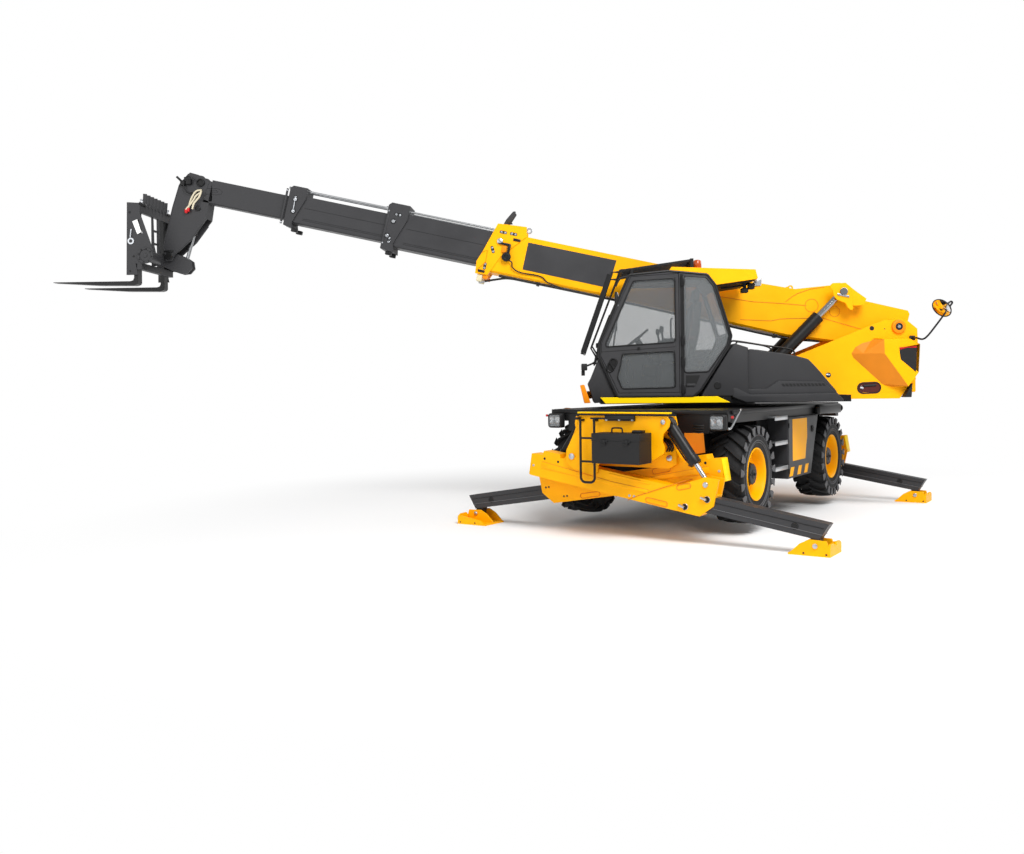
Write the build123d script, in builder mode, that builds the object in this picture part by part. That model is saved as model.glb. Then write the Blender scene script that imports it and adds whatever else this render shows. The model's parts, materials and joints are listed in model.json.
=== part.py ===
from build123d import *
from math import atan2, cos, degrees, hypot, radians, sin
import os

# Rotating telescopic handler standing on its four crossed stabilisers.
# Frame: +X towards the front of the chassis, +Y to its left, +Z up, in millimetres.
# The origin is on the ground under the slewing axis.

os.makedirs("parts", exist_ok=True)

# ---------------------------------------------------------------- named fits
PIN_FIT = 0.3  # radial gap of a pin in a moving eye
SLIDE_FIT = 0.5  # gap on each side of a telescoping section
SEAT_GAP = 0.5  # flat gap between bodies that turn on each other
PANEL_GAP = 6.0  # shut line round the door

# ---------------------------------------------------------------- rest pose
SLEW_ANGLE = -59.4  # boom heading from the chassis' forward direction
LIFT_ANGLE = 12.6  # boom elevation
STABILISER_ANGLE = 9.3  # fall of a lowered stabiliser beam

# ---------------------------------------------------------------- wheels
HALF_WHEELBASE = 1525.0
WHEEL_HEIGHT = 685.0  # axle height while the machine stands on its stabilisers
TYRE_RADIUS = 575.0
TYRE_HALF_WIDTH = 222.0
TYRE_CENTRE = 1030.0  # from the middle of the machine to the middle of the tyre
SIDEWALL_RADIUS = 400.0  # widest ring of a tyre
LUG_PAIRS = 21
LUG_WIDTH = 66.0
LUG_SWEEP = 70.0  # how far a lug runs round the tyre from the middle to the shoulder
RIM_FLANGE_RADIUS = 298.5
RIM_SEAT_RADIUS = 286.0
RIM_WALL = 12.0
RIM_HALF_WIDTH = 205.0
RIM_DISC_PLACE = 1085.0
HUB_RADIUS = 135.0
HUB_FACE = 1205.0
KINGPIN_PLACE = 920.0
KINGPIN_RADIUS = 32.0
EYE_RADIUS = 70.0
EYE_HALF_HEIGHT = 100.0
EAR_THICKNESS = 55.0
SPINDLE_RADIUS = 48.0
AXLE_TUBE_RADIUS = 88.0
DIFFERENTIAL_RADIUS = 185.0
DIFFERENTIAL_HALF_WIDTH = 170.0

# ---------------------------------------------------------------- chassis
FRAME_END = 2190.0
SPINE_HALF_WIDTH = 420.0
SPINE_BOTTOM = 900.0
DECK_BOTTOM = 1300.0
DECK_TOP = 1440.0
DECK_HALF_WIDTH = 1150.0
BUMPER_END = 2180.0
BUMPER_BOTTOM = 1185.0
BUMPER_HALF_WIDTH = 920.0
RING_RADIUS = 620.0
RING_TOP = 1500.0
BOX_SIDE = 1220.0
BOX_BOTTOM = 525.0
BOX_FRONT = 370.0

# ---------------------------------------------------------------- stabilisers
OUTER_STATION = 2560.0  # beam that crosses in front of the other one
INNER_STATION = 2320.0
PIVOT_SIDE = 567.0
PIVOT_HEIGHT = 917.0
PIVOT_PIN_RADIUS = 38.0
BEAM_WIDTH = 180.0
BEAM_TAIL = -570.0
BEAM_END = 1640.0
BEAM_TOP = -82.0
BEAM_BOTTOM = -340.0
SLIDER_WIDTH = 150.0
SLIDER_TOP = -107.0
SLIDER_BOTTOM = -287.0
SLIDER_TAIL = 675.0
SLIDER_END = 2975.0
GUSSET_THICKNESS = 22.0
GUSSET_PROUD = 3.0
GUSSET_OVALS = [(1120.0, -297.0, 0.0, 270.0), (1415.0, -60.0, 22.0, 170.0)]
OVAL_WIDTH = 52.0
ROD_PIN_ALONG = 1659.0
ROD_PIN_ABOVE = 12.0
RAM_PIN_SIDE = 602.0
RAM_PIN_HEIGHT = 1329.0
RAM_PIN_RADIUS = 26.0
RAM_TUBE_RADIUS = 62.0
RAM_TUBE_WALL = 12.0
RAM_TUBE_LENGTH = 557.0
RAM_ROD_RADIUS = 28.0
RAM_ROD_LENGTH = 560.0
RAM_EYE_RADIUS = 46.0
FOOT_PIN_ALONG = 2878.0
FOOT_PIN_ABOVE = -347.0
FOOT_PIN_RADIUS = 22.0
SOLE_THICKNESS = 20.0
SOLE_ACROSS = 400.0
SOLE_LENGTH = 430.0
SOLE_OUTER = 150.0  # outer edge of the sole, from the pin
EAR_GAP = 10.0
FOOT_PLATE = 20.0
FOOT_EAR = [(-270, 14), (-160, 118), (-66, 166), (112, 160), (140, 80), (146, 14)]
FOOT_LOW_WALL = [(-250, 14), (-205, 62), (120, 108), (146, 96), (146, 14)]
FOOT_END_WALL = [
    (0, 14), (0, 70), (20, 128), (120, 132), (150, 104), (215, 104), (240, 130), (350, 126),
    (SOLE_ACROSS, 100), (SOLE_ACROSS, 14),
]

# ---------------------------------------------------------------- turret
CAB_INNER = 220.0
CAB_OUTER = 1220.0
CAB_WALL = 42.0
CAB_FLOOR = 1585.3
BEACON_PLACE = (230.0, 780.0)
BEACON_SEAT = 3192.0
BEACON_TOP = 3336.0
BEACON_RADIUS = 62.0
BOOM_CENTRE = -100.0  # boom plane, from the slewing axis
BOOM_HALF_WIDTH = 200.0
TOWER_GAP = 400.0  # from the boom plane to the inner face of a tower plate
TOWER_PLATE = 40.0
BASE_TOP = 1585.0
LIFT_RAM_OFFSET = 300.0
LIFT_TUBE_RADIUS = 85.0
LIFT_TUBE_WALL = 14.0
LIFT_TUBE_LENGTH = 1295.0
LIFT_ROD_RADIUS = 45.0
LIFT_ROD_LENGTH = 1400.0
LIFT_EYE_RADIUS = 72.0
LIFT_PIN_RADIUS = 38.0
LIFT_FOOT_X = -540.0
LIFT_FOOT_Z = 1700.0

# ---------------------------------------------------------------- boom
PIVOT_X = -2455.0
PIVOT_Z = 2467.0
BOOM_PIN_RADIUS = 50.0
SECTION_AXIS = -53.0  # middle of the sections, from the pivot, square to the boom
OUTER_TOP = 205.0
OUTER_BOTTOM = -365.0
SECOND_HALF = (165.0, 244.0)
THIRD_HALF = (133.0, 198.0)
INNER_HALF = (104.0, 166.0)
LIFT_PIN_ALONG = 785.0
LIFT_PIN_ABOVE = 314.0
MOUTH = 5500.0
PAD_LENGTH = 260.0
BOOM_BEVEL = 26.0
SECTION_BEVEL = 18.0
COLLAR_PROUD = 22.0
SLOT_LENGTH = 105.0
SLOT_WIDTH = 42.0
SLOT_DEPTH = 8.0
MOUTH_SLOTS = [  # along, above and turn of the dark slots in the mouth plates
    (MOUTH - 238, 205.0, 0.0),
    (MOUTH - 95, 200.0, 0.0),
    (MOUTH + 60, -300.0, 90.0),
    (MOUTH, -60.0, 62.0),
]
PIPE_ABOVE = 228.0  # pipes that run over all sections, from the pivot line
PIPE_RADIUS = 12.0
PIPE_LENGTH = 1255.0
PIPE_HOLE = PIPE_RADIUS + 2.0
SECOND_PIPES = 120.0
THIRD_PIPES = 75.0
ARM_HALF_WIDTH = 100.0
ARM_PLATE = 26.0
TILT_X = 7480.0
TILT_Z = 3610.0
TILT_PIN_RADIUS = 34.0
TILT_HEAD_PIN = 20.0
TILT_RAM_EYE = (7276.0, 3540.0)
TILT_RAM_HEAD = (7062.0, 4269.0)
CARRIAGE_HALF_WIDTH = 500.0
FORK_PLACE = 412.0
FORK_WIDTH = 125.0
FORK_TOP = 3226.0
FORK_REACH = 1183.0

TYRE_CARCASS = [  # sideways place and radius
    (-TYRE_HALF_WIDTH, SIDEWALL_RADIUS),
    (-TYRE_HALF_WIDTH + 8, 470.0),
    (-TYRE_HALF_WIDTH + 60, TYRE_RADIUS - 38),
    (TYRE_HALF_WIDTH - 60, TYRE_RADIUS - 38),
    (TYRE_HALF_WIDTH - 8, 470.0),
    (TYRE_HALF_WIDTH, SIDEWALL_RADIUS),
]
LUG_PROFILE = [  # along a lug from the middle of the tread, and radius
    (-8, TYRE_RADIUS - 60),
    (-8, TYRE_RADIUS - 2),
    (TYRE_HALF_WIDTH - 50, TYRE_RADIUS),
    (TYRE_HALF_WIDTH, 470.0),
]

WHEELS = {
    "front_left": (HALF_WHEELBASE, 1),
    "front_right": (HALF_WHEELBASE, -1),
    "rear_left": (-HALF_WHEELBASE, 1),
    "rear_right": (-HALF_WHEELBASE, -1),
}
STABILISERS = {  # place along the chassis, side, and how much further the slider is run out
    "front_left": (OUTER_STATION, 1, 30.0),
    "front_right": (INNER_STATION, -1, -55.0),
    "rear_left": (-INNER_STATION, 1, 0.0),
    "rear_right": (-OUTER_STATION, -1, 0.0),
}

FORWARD = Vector(cos(radians(SLEW_ANGLE)), sin(radians(SLEW_ANGLE)), 0)
LEFT = Vector(-sin(radians(SLEW_ANGLE)), cos(radians(SLEW_ANGLE)), 0)
UP = Vector(0, 0, 1)
BOOM_ALONG = FORWARD * cos(radians(LIFT_ANGLE)) + UP * sin(radians(LIFT_ANGLE))
FALL = radians(STABILISER_ANGLE)


def across(x):
    """Plane square to the chassis at X = x, drawn in Y and Z."""
    return Plane(origin=(x, 0, 0), x_dir=(0, 1, 0), z_dir=(1, 0, 0))


def flank(y):
    """Chassis side plane at Y = y, drawn in X and Z; extrusion goes to the right."""
    return Plane(origin=(0, y, 0), x_dir=(1, 0, 0), z_dir=(0, -1, 0))


def turret_point(x, y, z):
    """Point given in the turret's own forward, left and up directions."""
    return FORWARD * x + LEFT * y + UP * z


def turret_side(y):
    """Turret side plane, drawn in forward and up; extrusion goes to the right."""
    return Plane(origin=turret_point(0, y, 0), x_dir=FORWARD, z_dir=LEFT * -1)


def turret_level(z):
    """Level turret plane, drawn in forward and left."""
    return Plane(origin=(0, 0, z), x_dir=FORWARD, z_dir=UP)


def cab_wall(lower, upper):
    """Plane through a cab edge line, drawn across the cab and up the wall."""
    middle = (CAB_INNER + CAB_OUTER) / 2
    centre = turret_point((lower[0] + upper[0]) / 2, middle, (lower[1] + upper[1]) / 2)
    rise = FORWARD * (upper[0] - lower[0]) + UP * (upper[1] - lower[1])
    return Plane(origin=centre, x_dir=LEFT, z_dir=LEFT.cross(rise))


def boom_side(offset):
    """Boom side plane, drawn along and above the boom from its pivot."""
    centre = turret_point(PIVOT_X, BOOM_CENTRE + offset, PIVOT_Z)
    return Plane(origin=centre, x_dir=BOOM_ALONG, z_dir=LEFT * -1)


def boom_cross(along):
    """Plane square to the boom, drawn to its left and above it."""
    centre = turret_point(PIVOT_X, BOOM_CENTRE, PIVOT_Z) + BOOM_ALONG * along
    return Plane(origin=centre, x_dir=LEFT, z_dir=BOOM_ALONG)


def beam_plane(station, side, offset=0.0):
    """Stabiliser beam plane, drawn along and above the beam from its pivot."""
    origin = (station + side * offset, -side * PIVOT_SIDE, PIVOT_HEIGHT)
    run = (0, side * cos(FALL), -sin(FALL))
    return Plane(origin=origin, x_dir=run, z_dir=(side, 0, 0))


def beam_point(station, side, along, above):
    """World place of a point on a stabiliser beam."""
    y = side * (-PIVOT_SIDE + along * cos(FALL) + above * sin(FALL))
    z = PIVOT_HEIGHT - along * sin(FALL) + above * cos(FALL)
    return (station, y, z)


def line_plane(start, towards, square):
    """Plane whose X runs from one point to another and whose normal is given."""
    return Plane(origin=start, x_dir=Vector(*towards) - Vector(*start), z_dir=square)


# ================================================================ chassis
with BuildPart() as chassis_frame:
    with BuildSketch(Plane.XY.offset(SPINE_BOTTOM)):
        Rectangle(2 * FRAME_END, 2 * SPINE_HALF_WIDTH)
    extrude(amount=DECK_BOTTOM - SPINE_BOTTOM)
    with BuildSketch(flank(DECK_HALF_WIDTH)):
        Polygon(
            (-BUMPER_END, DECK_BOTTOM - 60),
            (-BUMPER_END + 90, DECK_BOTTOM - 60),
            (-BUMPER_END + 190, DECK_BOTTOM),
            (BUMPER_END - 120, DECK_BOTTOM),
            (BUMPER_END, DECK_BOTTOM + 20),
            (BUMPER_END, DECK_TOP - 20),
            (BUMPER_END - 20, DECK_TOP),
            (-BUMPER_END + 20, DECK_TOP),
            (-BUMPER_END, DECK_TOP - 20),
            align=None,
        )
    extrude(amount=2 * DECK_HALF_WIDTH)
    for end in (-1, 1):
        with BuildSketch(Plane.XY.offset(BUMPER_BOTTOM)):
            with Locations((end * (BUMPER_END - 90), 0)):
                Rectangle(180, 2 * BUMPER_HALF_WIDTH)
        extrude(amount=DECK_TOP - BUMPER_BOTTOM)
    with BuildSketch(Plane.XY.offset(DECK_TOP)):
        Circle(RING_RADIUS)
    extrude(amount=RING_TOP - DECK_TOP)
    for side in (-1, 1):
        for z in (1310.0, 1000.0, 685.0):
            with BuildSketch(Plane.XY.offset(z - 30)):
                with Locations((BOX_FRONT + 250, side * 1090)):
                    Rectangle(500 - 40, 260)
            extrude(amount=30)
        with BuildSketch(Plane.XY.offset(655)):
            with Locations((BOX_FRONT + 200, side * (BOX_SIDE - 275))):
                Rectangle(400, 30)
        extrude(amount=DECK_BOTTOM - 655)
chassis_frame.part.label = "chassis_frame"
export_step(chassis_frame.part, "parts/chassis_frame.step")

with BuildPart() as side_boxes:
    for side in (1, -1):
        near = BOX_SIDE if side > 0 else -SPINE_HALF_WIDTH
        with BuildSketch(flank(near)):
            Polygon(
                (BOX_FRONT, BOX_BOTTOM),
                (BOX_FRONT, DECK_BOTTOM),
                (-915, DECK_BOTTOM),
                (-760, 960),
                (-575, BOX_BOTTOM),
                align=None,
            )
        extrude(amount=BOX_SIDE - SPINE_HALF_WIDTH)
side_boxes.part.label = "side_boxes"
export_step(side_boxes.part, "parts/side_boxes.step")

with BuildPart() as axles:
    for x in (HALF_WHEELBASE, -HALF_WHEELBASE):
        with BuildSketch(Plane(origin=(x, 0, WHEEL_HEIGHT), x_dir=(1, 0, 0), z_dir=(0, 1, 0))):
            Circle(AXLE_TUBE_RADIUS)
        extrude(amount=KINGPIN_PLACE - 40, both=True)
        with BuildSketch(Plane(origin=(x, 0, WHEEL_HEIGHT), x_dir=(1, 0, 0), z_dir=(0, 1, 0))):
            Circle(DIFFERENTIAL_RADIUS)
        extrude(amount=DIFFERENTIAL_HALF_WIDTH, both=True)
        with BuildSketch(Plane.XY.offset(WHEEL_HEIGHT)):
            with Locations((x, 0)):
                Rectangle(240, 2 * SPINE_HALF_WIDTH - 60)
        extrude(amount=SPINE_BOTTOM - WHEEL_HEIGHT)
        for side in (-1, 1):
            with BuildSketch(Plane.XY.offset(WHEEL_HEIGHT - EYE_HALF_HEIGHT)):
                with Locations((x, side * KINGPIN_PLACE)):
                    Circle(EYE_RADIUS)
            extrude(amount=2 * EYE_HALF_HEIGHT)
            with BuildSketch(Plane.XY.offset(WHEEL_HEIGHT - EYE_HALF_HEIGHT)):
                with Locations((x, side * KINGPIN_PLACE)):
                    Circle(KINGPIN_RADIUS + PIN_FIT)
            extrude(amount=2 * EYE_HALF_HEIGHT, mode=Mode.SUBTRACT)
axles.part.label = "axles"
export_step(axles.part, "parts/axles.step")

def lug_planes(x, side):
    """Upright planes through the lugs of one tyre, each running from its middle outwards."""
    planes = []
    for hand in (1, -1):
        for number in range(LUG_PAIRS):
            angle = radians((number + 0.25 * (1 - hand)) * 360 / LUG_PAIRS)
            radial = Vector(cos(angle), 0, sin(angle))
            around = Vector(-sin(angle), 0, cos(angle))
            run = Vector(0, side * hand * TYRE_HALF_WIDTH, 0) + around * LUG_SWEEP
            start = Vector(x, side * TYRE_CENTRE, WHEEL_HEIGHT) - around * LUG_SWEEP / 2
            planes.append(Plane(origin=start, x_dir=run, z_dir=run.cross(radial)))
    return planes


for corner, (x, side) in WHEELS.items():
    axis_plane = Plane(origin=(x, 0, WHEEL_HEIGHT), x_dir=(0, side, 0), z_dir=(side, 0, 0))
    wheel_axis = Axis((x, 0, WHEEL_HEIGHT), (0, 1, 0))
    outward = Plane(origin=(x, 0, WHEEL_HEIGHT), x_dir=(1, 0, 0), z_dir=(0, side, 0))

    with BuildPart() as knuckle:
        for level in (EYE_HALF_HEIGHT + SEAT_GAP, -EYE_HALF_HEIGHT - SEAT_GAP - EAR_THICKNESS):
            with BuildSketch(Plane.XY.offset(WHEEL_HEIGHT + level)):
                with Locations((x, side * KINGPIN_PLACE)):
                    Circle(EYE_RADIUS)
                with Locations((x, side * (KINGPIN_PLACE + 60))):
                    Rectangle(2 * EYE_RADIUS, 120)
            extrude(amount=EAR_THICKNESS)
        with BuildSketch(Plane.XY.offset(WHEEL_HEIGHT - EYE_HALF_HEIGHT - EAR_THICKNESS)):
            with Locations((x, side * KINGPIN_PLACE)):
                Circle(KINGPIN_RADIUS)
        extrude(amount=2 * (EYE_HALF_HEIGHT + EAR_THICKNESS))
        with BuildSketch(outward.offset(KINGPIN_PLACE + EYE_RADIUS + 20)):
            Circle(EYE_HALF_HEIGHT + EAR_THICKNESS)
        extrude(amount=45)
        with BuildSketch(outward.offset(KINGPIN_PLACE + EYE_RADIUS + 20)):
            Circle(SPINDLE_RADIUS)
        extrude(amount=HUB_FACE - 30 - KINGPIN_PLACE - EYE_RADIUS - 20)
    knuckle.part.label = "knuckle_" + corner
    export_step(knuckle.part, "parts/knuckle_" + corner + ".step")

    with BuildPart() as rim:
        inner_edge = TYRE_CENTRE - RIM_HALF_WIDTH
        outer_edge = TYRE_CENTRE + RIM_HALF_WIDTH
        bore = RIM_SEAT_RADIUS - RIM_WALL
        with BuildSketch(axis_plane):
            Polygon(
                (inner_edge, bore),
                (inner_edge, RIM_FLANGE_RADIUS),
                (inner_edge + RIM_WALL, RIM_FLANGE_RADIUS),
                (inner_edge + RIM_WALL, RIM_SEAT_RADIUS),
                (outer_edge - RIM_WALL, RIM_SEAT_RADIUS),
                (outer_edge - RIM_WALL, RIM_FLANGE_RADIUS),
                (outer_edge, RIM_FLANGE_RADIUS),
                (outer_edge, bore + 4),
                (RIM_DISC_PLACE + 60, bore - 12),
                (RIM_DISC_PLACE + 15, 205),
                (RIM_DISC_PLACE + 15, HUB_RADIUS),
                (HUB_FACE - 25, HUB_RADIUS),
                (HUB_FACE, HUB_RADIUS - 25),
                (HUB_FACE, 0),
                (HUB_FACE - 25, 0),
                (HUB_FACE - 25, SPINDLE_RADIUS + PIN_FIT),
                (RIM_DISC_PLACE - 30, SPINDLE_RADIUS + PIN_FIT),
                (RIM_DISC_PLACE - 30, HUB_RADIUS),
                (RIM_DISC_PLACE, HUB_RADIUS),
                (RIM_DISC_PLACE, 215),
                (RIM_DISC_PLACE + 30, bore),
                align=None,
            )
        revolve(axis=wheel_axis)
    rim.part.label = "rim_" + corner
    export_step(rim.part, "parts/rim_" + corner + ".step")

    with BuildPart() as tyre:
        for place, radius in TYRE_CARCASS:
            with BuildSketch(outward.offset(TYRE_CENTRE + place)):
                RegularPolygon(radius, LUG_PAIRS)
        loft(ruled=True)
        with BuildSketch(*lug_planes(x, side)):
            with BuildLine():
                Polyline(LUG_PROFILE, close=True)
            make_face()
        extrude(amount=LUG_WIDTH / 2, both=True)
        for face in (-1, 1):
            with BuildSketch(outward.offset(TYRE_CENTRE + face * (RIM_HALF_WIDTH - RIM_WALL))):
                RegularPolygon(RIM_FLANGE_RADIUS + 8, LUG_PAIRS)
            with BuildSketch(outward.offset(TYRE_CENTRE + face * TYRE_HALF_WIDTH)):
                RegularPolygon(SIDEWALL_RADIUS, LUG_PAIRS)
            loft(ruled=True, mode=Mode.SUBTRACT)
        with BuildSketch(outward.offset(TYRE_CENTRE - TYRE_HALF_WIDTH)):
            Circle(RIM_SEAT_RADIUS)
        extrude(amount=2 * TYRE_HALF_WIDTH, mode=Mode.SUBTRACT)
    tyre.part.label = "tyre_" + corner
    export_step(tyre.part, "parts/tyre_" + corner + ".step")

# ================================================================ stabilisers
PLATE = 24.0
PLATE_GAP = 8.0  # from a beam's face to the plate beside it
COVER_PLATE = [  # round the pivot of the beam beside it, hooked under that beam's ram pin
    (-478, 1389), (640, 1389), (676, 1340), (660, 1270), (592, 1190), (580, 1110), (607, 1050),
    (600, 985), (545, 950), (470, 905), (-180, 905), (-225, 840), (-245, 735), (-300, 705),
    (-560, 775), (-650, 850), (-650, 985), (-611, 1054), (-536, 1201),
]
MIDDLE_PLATE = [
    (-640, 1389), (640, 1389), (661, 1290), (611, 1054), (650, 985), (650, 850), (560, 800),
    (-560, 800), (-650, 850), (-650, 985), (-611, 1054), (-661, 1290),
]
PLATE_ROUND = 22.0
with BuildPart() as stabiliser_frames:
    for end in (1, -1):
        plates = (
            (OUTER_STATION + BEAM_WIDTH / 2 + PLATE_GAP, COVER_PLATE, 1),
            (OUTER_STATION - BEAM_WIDTH / 2 - PLATE_GAP - PLATE, MIDDLE_PLATE, 1),
            (FRAME_END, COVER_PLATE, -1),
        )
        for near, outline, lean in plates:
            with BuildSketch(across(end * near if end > 0 else end * (near + PLATE))):
                with BuildLine():
                    Polyline([(end * lean * y, z) for y, z in outline], close=True)
                make_face()
                fillet(vertices(), PLATE_ROUND)
            extrude(amount=PLATE)
        front = OUTER_STATION + BEAM_WIDTH / 2 + PLATE_GAP + PLATE
        with BuildSketch(Plane.XY.offset(1350)):
            with Locations((end * (front + FRAME_END) / 2, 0)):
                Rectangle(front - FRAME_END, 880)
        extrude(amount=39)
        with BuildSketch(Plane.XY.offset(1100)):
            with Locations((end * (INNER_STATION + OUTER_STATION) / 2, 0)):
                Rectangle(OUTER_STATION - INNER_STATION, 120)
        extrude(amount=250)
        for station, side in ((OUTER_STATION, end), (INNER_STATION, -end)):
            run = Plane(
                origin=(end * station, 0, 0), x_dir=(0, 1, 0), z_dir=(1, 0, 0)
            )
            reach = BEAM_WIDTH / 2 + PLATE_GAP + PLATE + 12
            with BuildSketch(run):
                with Locations((-side * PIVOT_SIDE, PIVOT_HEIGHT)):
                    Circle(PIVOT_PIN_RADIUS)
                with Locations((side * RAM_PIN_SIDE, RAM_PIN_HEIGHT)):
                    Circle(RAM_PIN_RADIUS)
            extrude(amount=reach, both=True)
stabiliser_frames.part.label = "stabiliser_frames"
export_step(stabiliser_frames.part, "parts/stabiliser_frames.step")

for corner, (station, side, run_out) in STABILISERS.items():
    with BuildPart() as beam:
        with BuildSketch(beam_plane(station, side)):
            with BuildLine():
                Polyline(
                    (BEAM_TAIL, BEAM_BOTTOM),
                    (BEAM_TAIL - 10, -110),
                    (BEAM_TAIL, -78),
                    (-425, -70),
                    (-415, -18),
                    (-190, -16),
                    (-180, -60),
                    (-130, -58),
                    (-120, BEAM_TOP),
                    (BEAM_END + 60, BEAM_TOP),
                    (BEAM_END, BEAM_BOTTOM),
                    close=True,
                )
            make_face()
        extrude(amount=BEAM_WIDTH / 2, both=True)
        with BuildSketch(beam_plane(station, side)):
            Circle(88)
            with BuildLine():
                Polyline((-150, -100), (-86, 20), (86, 20), (150, -100), close=True)
            make_face()
        extrude(amount=BEAM_WIDTH / 2, both=True)
        with BuildSketch(beam_plane(station, side)):
            with BuildLine():
                Polyline(
                    (770, BEAM_BOTTOM),
                    (1590, 62),
                    (1640, 92),
                    (1800, 96),
                    (1784, -198),
                    (BEAM_END, BEAM_BOTTOM),
                    close=True,
                )
            make_face()
        extrude(amount=BEAM_WIDTH / 2 + GUSSET_PROUD, both=True)
        with BuildSketch(beam_plane(station, side)):
            with BuildLine():
                Polyline((1000, BEAM_TOP), (1590, 220), (2000, 220), (2000, BEAM_TOP), close=True)
            make_face()
        extrude(amount=BEAM_WIDTH / 2 - GUSSET_THICKNESS, both=True, mode=Mode.SUBTRACT)
        for face in (-1, 1):
            with BuildSketch(beam_plane(station, side, face * (BEAM_WIDTH / 2 + GUSSET_PROUD))):
                for along, above, turn, length in GUSSET_OVALS:
                    with Locations(Location((along, above, 0), (0, 0, turn))):
                        SlotOverall(length, OVAL_WIDTH)
            extrude(amount=-face * GUSSET_PROUD, mode=Mode.SUBTRACT)
        with BuildSketch(beam_plane(station, side)):
            with Locations(((BEAM_TAIL + 2200) / 2, (SLIDER_TOP + SLIDER_BOTTOM) / 2)):
                Rectangle(2200 - BEAM_TAIL - 40, SLIDER_TOP - SLIDER_BOTTOM + 2 * SLIDE_FIT)
        extrude(amount=SLIDER_WIDTH / 2 + SLIDE_FIT, both=True, mode=Mode.SUBTRACT)
        with BuildSketch(beam_plane(station, side)):
            Circle(PIVOT_PIN_RADIUS + PIN_FIT)
        extrude(amount=BEAM_WIDTH, both=True, mode=Mode.SUBTRACT)
        with BuildSketch(beam_plane(station, side).offset(BEAM_WIDTH / 2 + GUSSET_PROUD)):
            with Locations((ROD_PIN_ALONG, ROD_PIN_ABOVE)):
                Circle(RAM_PIN_RADIUS + 10)
        extrude(amount=2 - GUSSET_THICKNESS)
    beam.part.label = "stabiliser_beam_" + corner
    export_step(beam.part, "parts/stabiliser_beam_" + corner + ".step")

    with BuildPart() as slider:
        with BuildSketch(beam_plane(station, side)):
            with BuildLine():
                Polyline(
                    (SLIDER_TAIL + run_out, SLIDER_BOTTOM),
                    (SLIDER_TAIL + run_out, SLIDER_TOP),
                    (SLIDER_END + run_out, SLIDER_TOP),
                    (SLIDER_END + run_out - 75, SLIDER_BOTTOM),
                    close=True,
                )
            make_face()
        extrude(amount=SLIDER_WIDTH / 2, both=True)
        foot_pin = FOOT_PIN_ALONG + run_out
        with BuildSketch(beam_plane(station, side)):
            with Locations((foot_pin, FOOT_PIN_ABOVE)):
                Circle(46)
            with BuildLine():
                Polyline(
                    (foot_pin - 80, SLIDER_BOTTOM + 10),
                    (foot_pin - 44, FOOT_PIN_ABOVE),
                    (foot_pin + 44, FOOT_PIN_ABOVE),
                    (foot_pin + 22, SLIDER_BOTTOM + 10),
                    close=True,
                )
            make_face()
            with Locations((foot_pin, FOOT_PIN_ABOVE)):
                Circle(FOOT_PIN_RADIUS + PIN_FIT, mode=Mode.SUBTRACT)
        extrude(amount=50, both=True)
    slider.part.label = "stabiliser_slider_" + corner
    export_step(slider.part, "parts/stabiliser_slider_" + corner + ".step")

    pin_place = beam_point(station, side, foot_pin, FOOT_PIN_ABOVE)
    near_edge = SLIDER_WIDTH / 2 + EAR_GAP + FOOT_PLATE
    with BuildPart() as foot:
        with BuildSketch(Plane.XY):
            with Locations(
                (
                    pin_place[0] + side * (near_edge - SOLE_ACROSS / 2),
                    pin_place[1] + side * (SOLE_OUTER - SOLE_LENGTH / 2),
                )
            ):
                Rectangle(SOLE_ACROSS, SOLE_LENGTH)
        extrude(amount=SOLE_THICKNESS)
        walls = (
            (near_edge - FOOT_PLATE, FOOT_EAR),
            (-near_edge, FOOT_EAR),
            (near_edge - SOLE_ACROSS, FOOT_LOW_WALL),
        )
        for edge, outline in walls:
            wall_plane = Plane(
                origin=(pin_place[0] + side * edge, pin_place[1], 0),
                x_dir=(0, side, 0),
                z_dir=(side, 0, 0),
            )
            with BuildSketch(wall_plane):
                with BuildLine():
                    Polyline(outline, close=True)
                make_face()
            extrude(amount=FOOT_PLATE)
        end_plane = Plane(
            origin=(pin_place[0] + side * near_edge, pin_place[1] + side * SOLE_OUTER, 0),
            x_dir=(-side, 0, 0),
            z_dir=(0, side, 0),
        )
        with BuildSketch(end_plane):
            with BuildLine():
                Polyline(FOOT_END_WALL, close=True)
            make_face()
        extrude(amount=-FOOT_PLATE)
        with BuildSketch(
            Plane(origin=(pin_place[0], pin_place[1], pin_place[2]), x_dir=(0, 1, 0), z_dir=(1, 0, 0))
        ):
            Circle(FOOT_PIN_RADIUS)
        extrude(amount=near_edge + 8, both=True)
    foot.part.label = "stabiliser_foot_" + corner
    export_step(foot.part, "parts/stabiliser_foot_" + corner + ".step")

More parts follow.
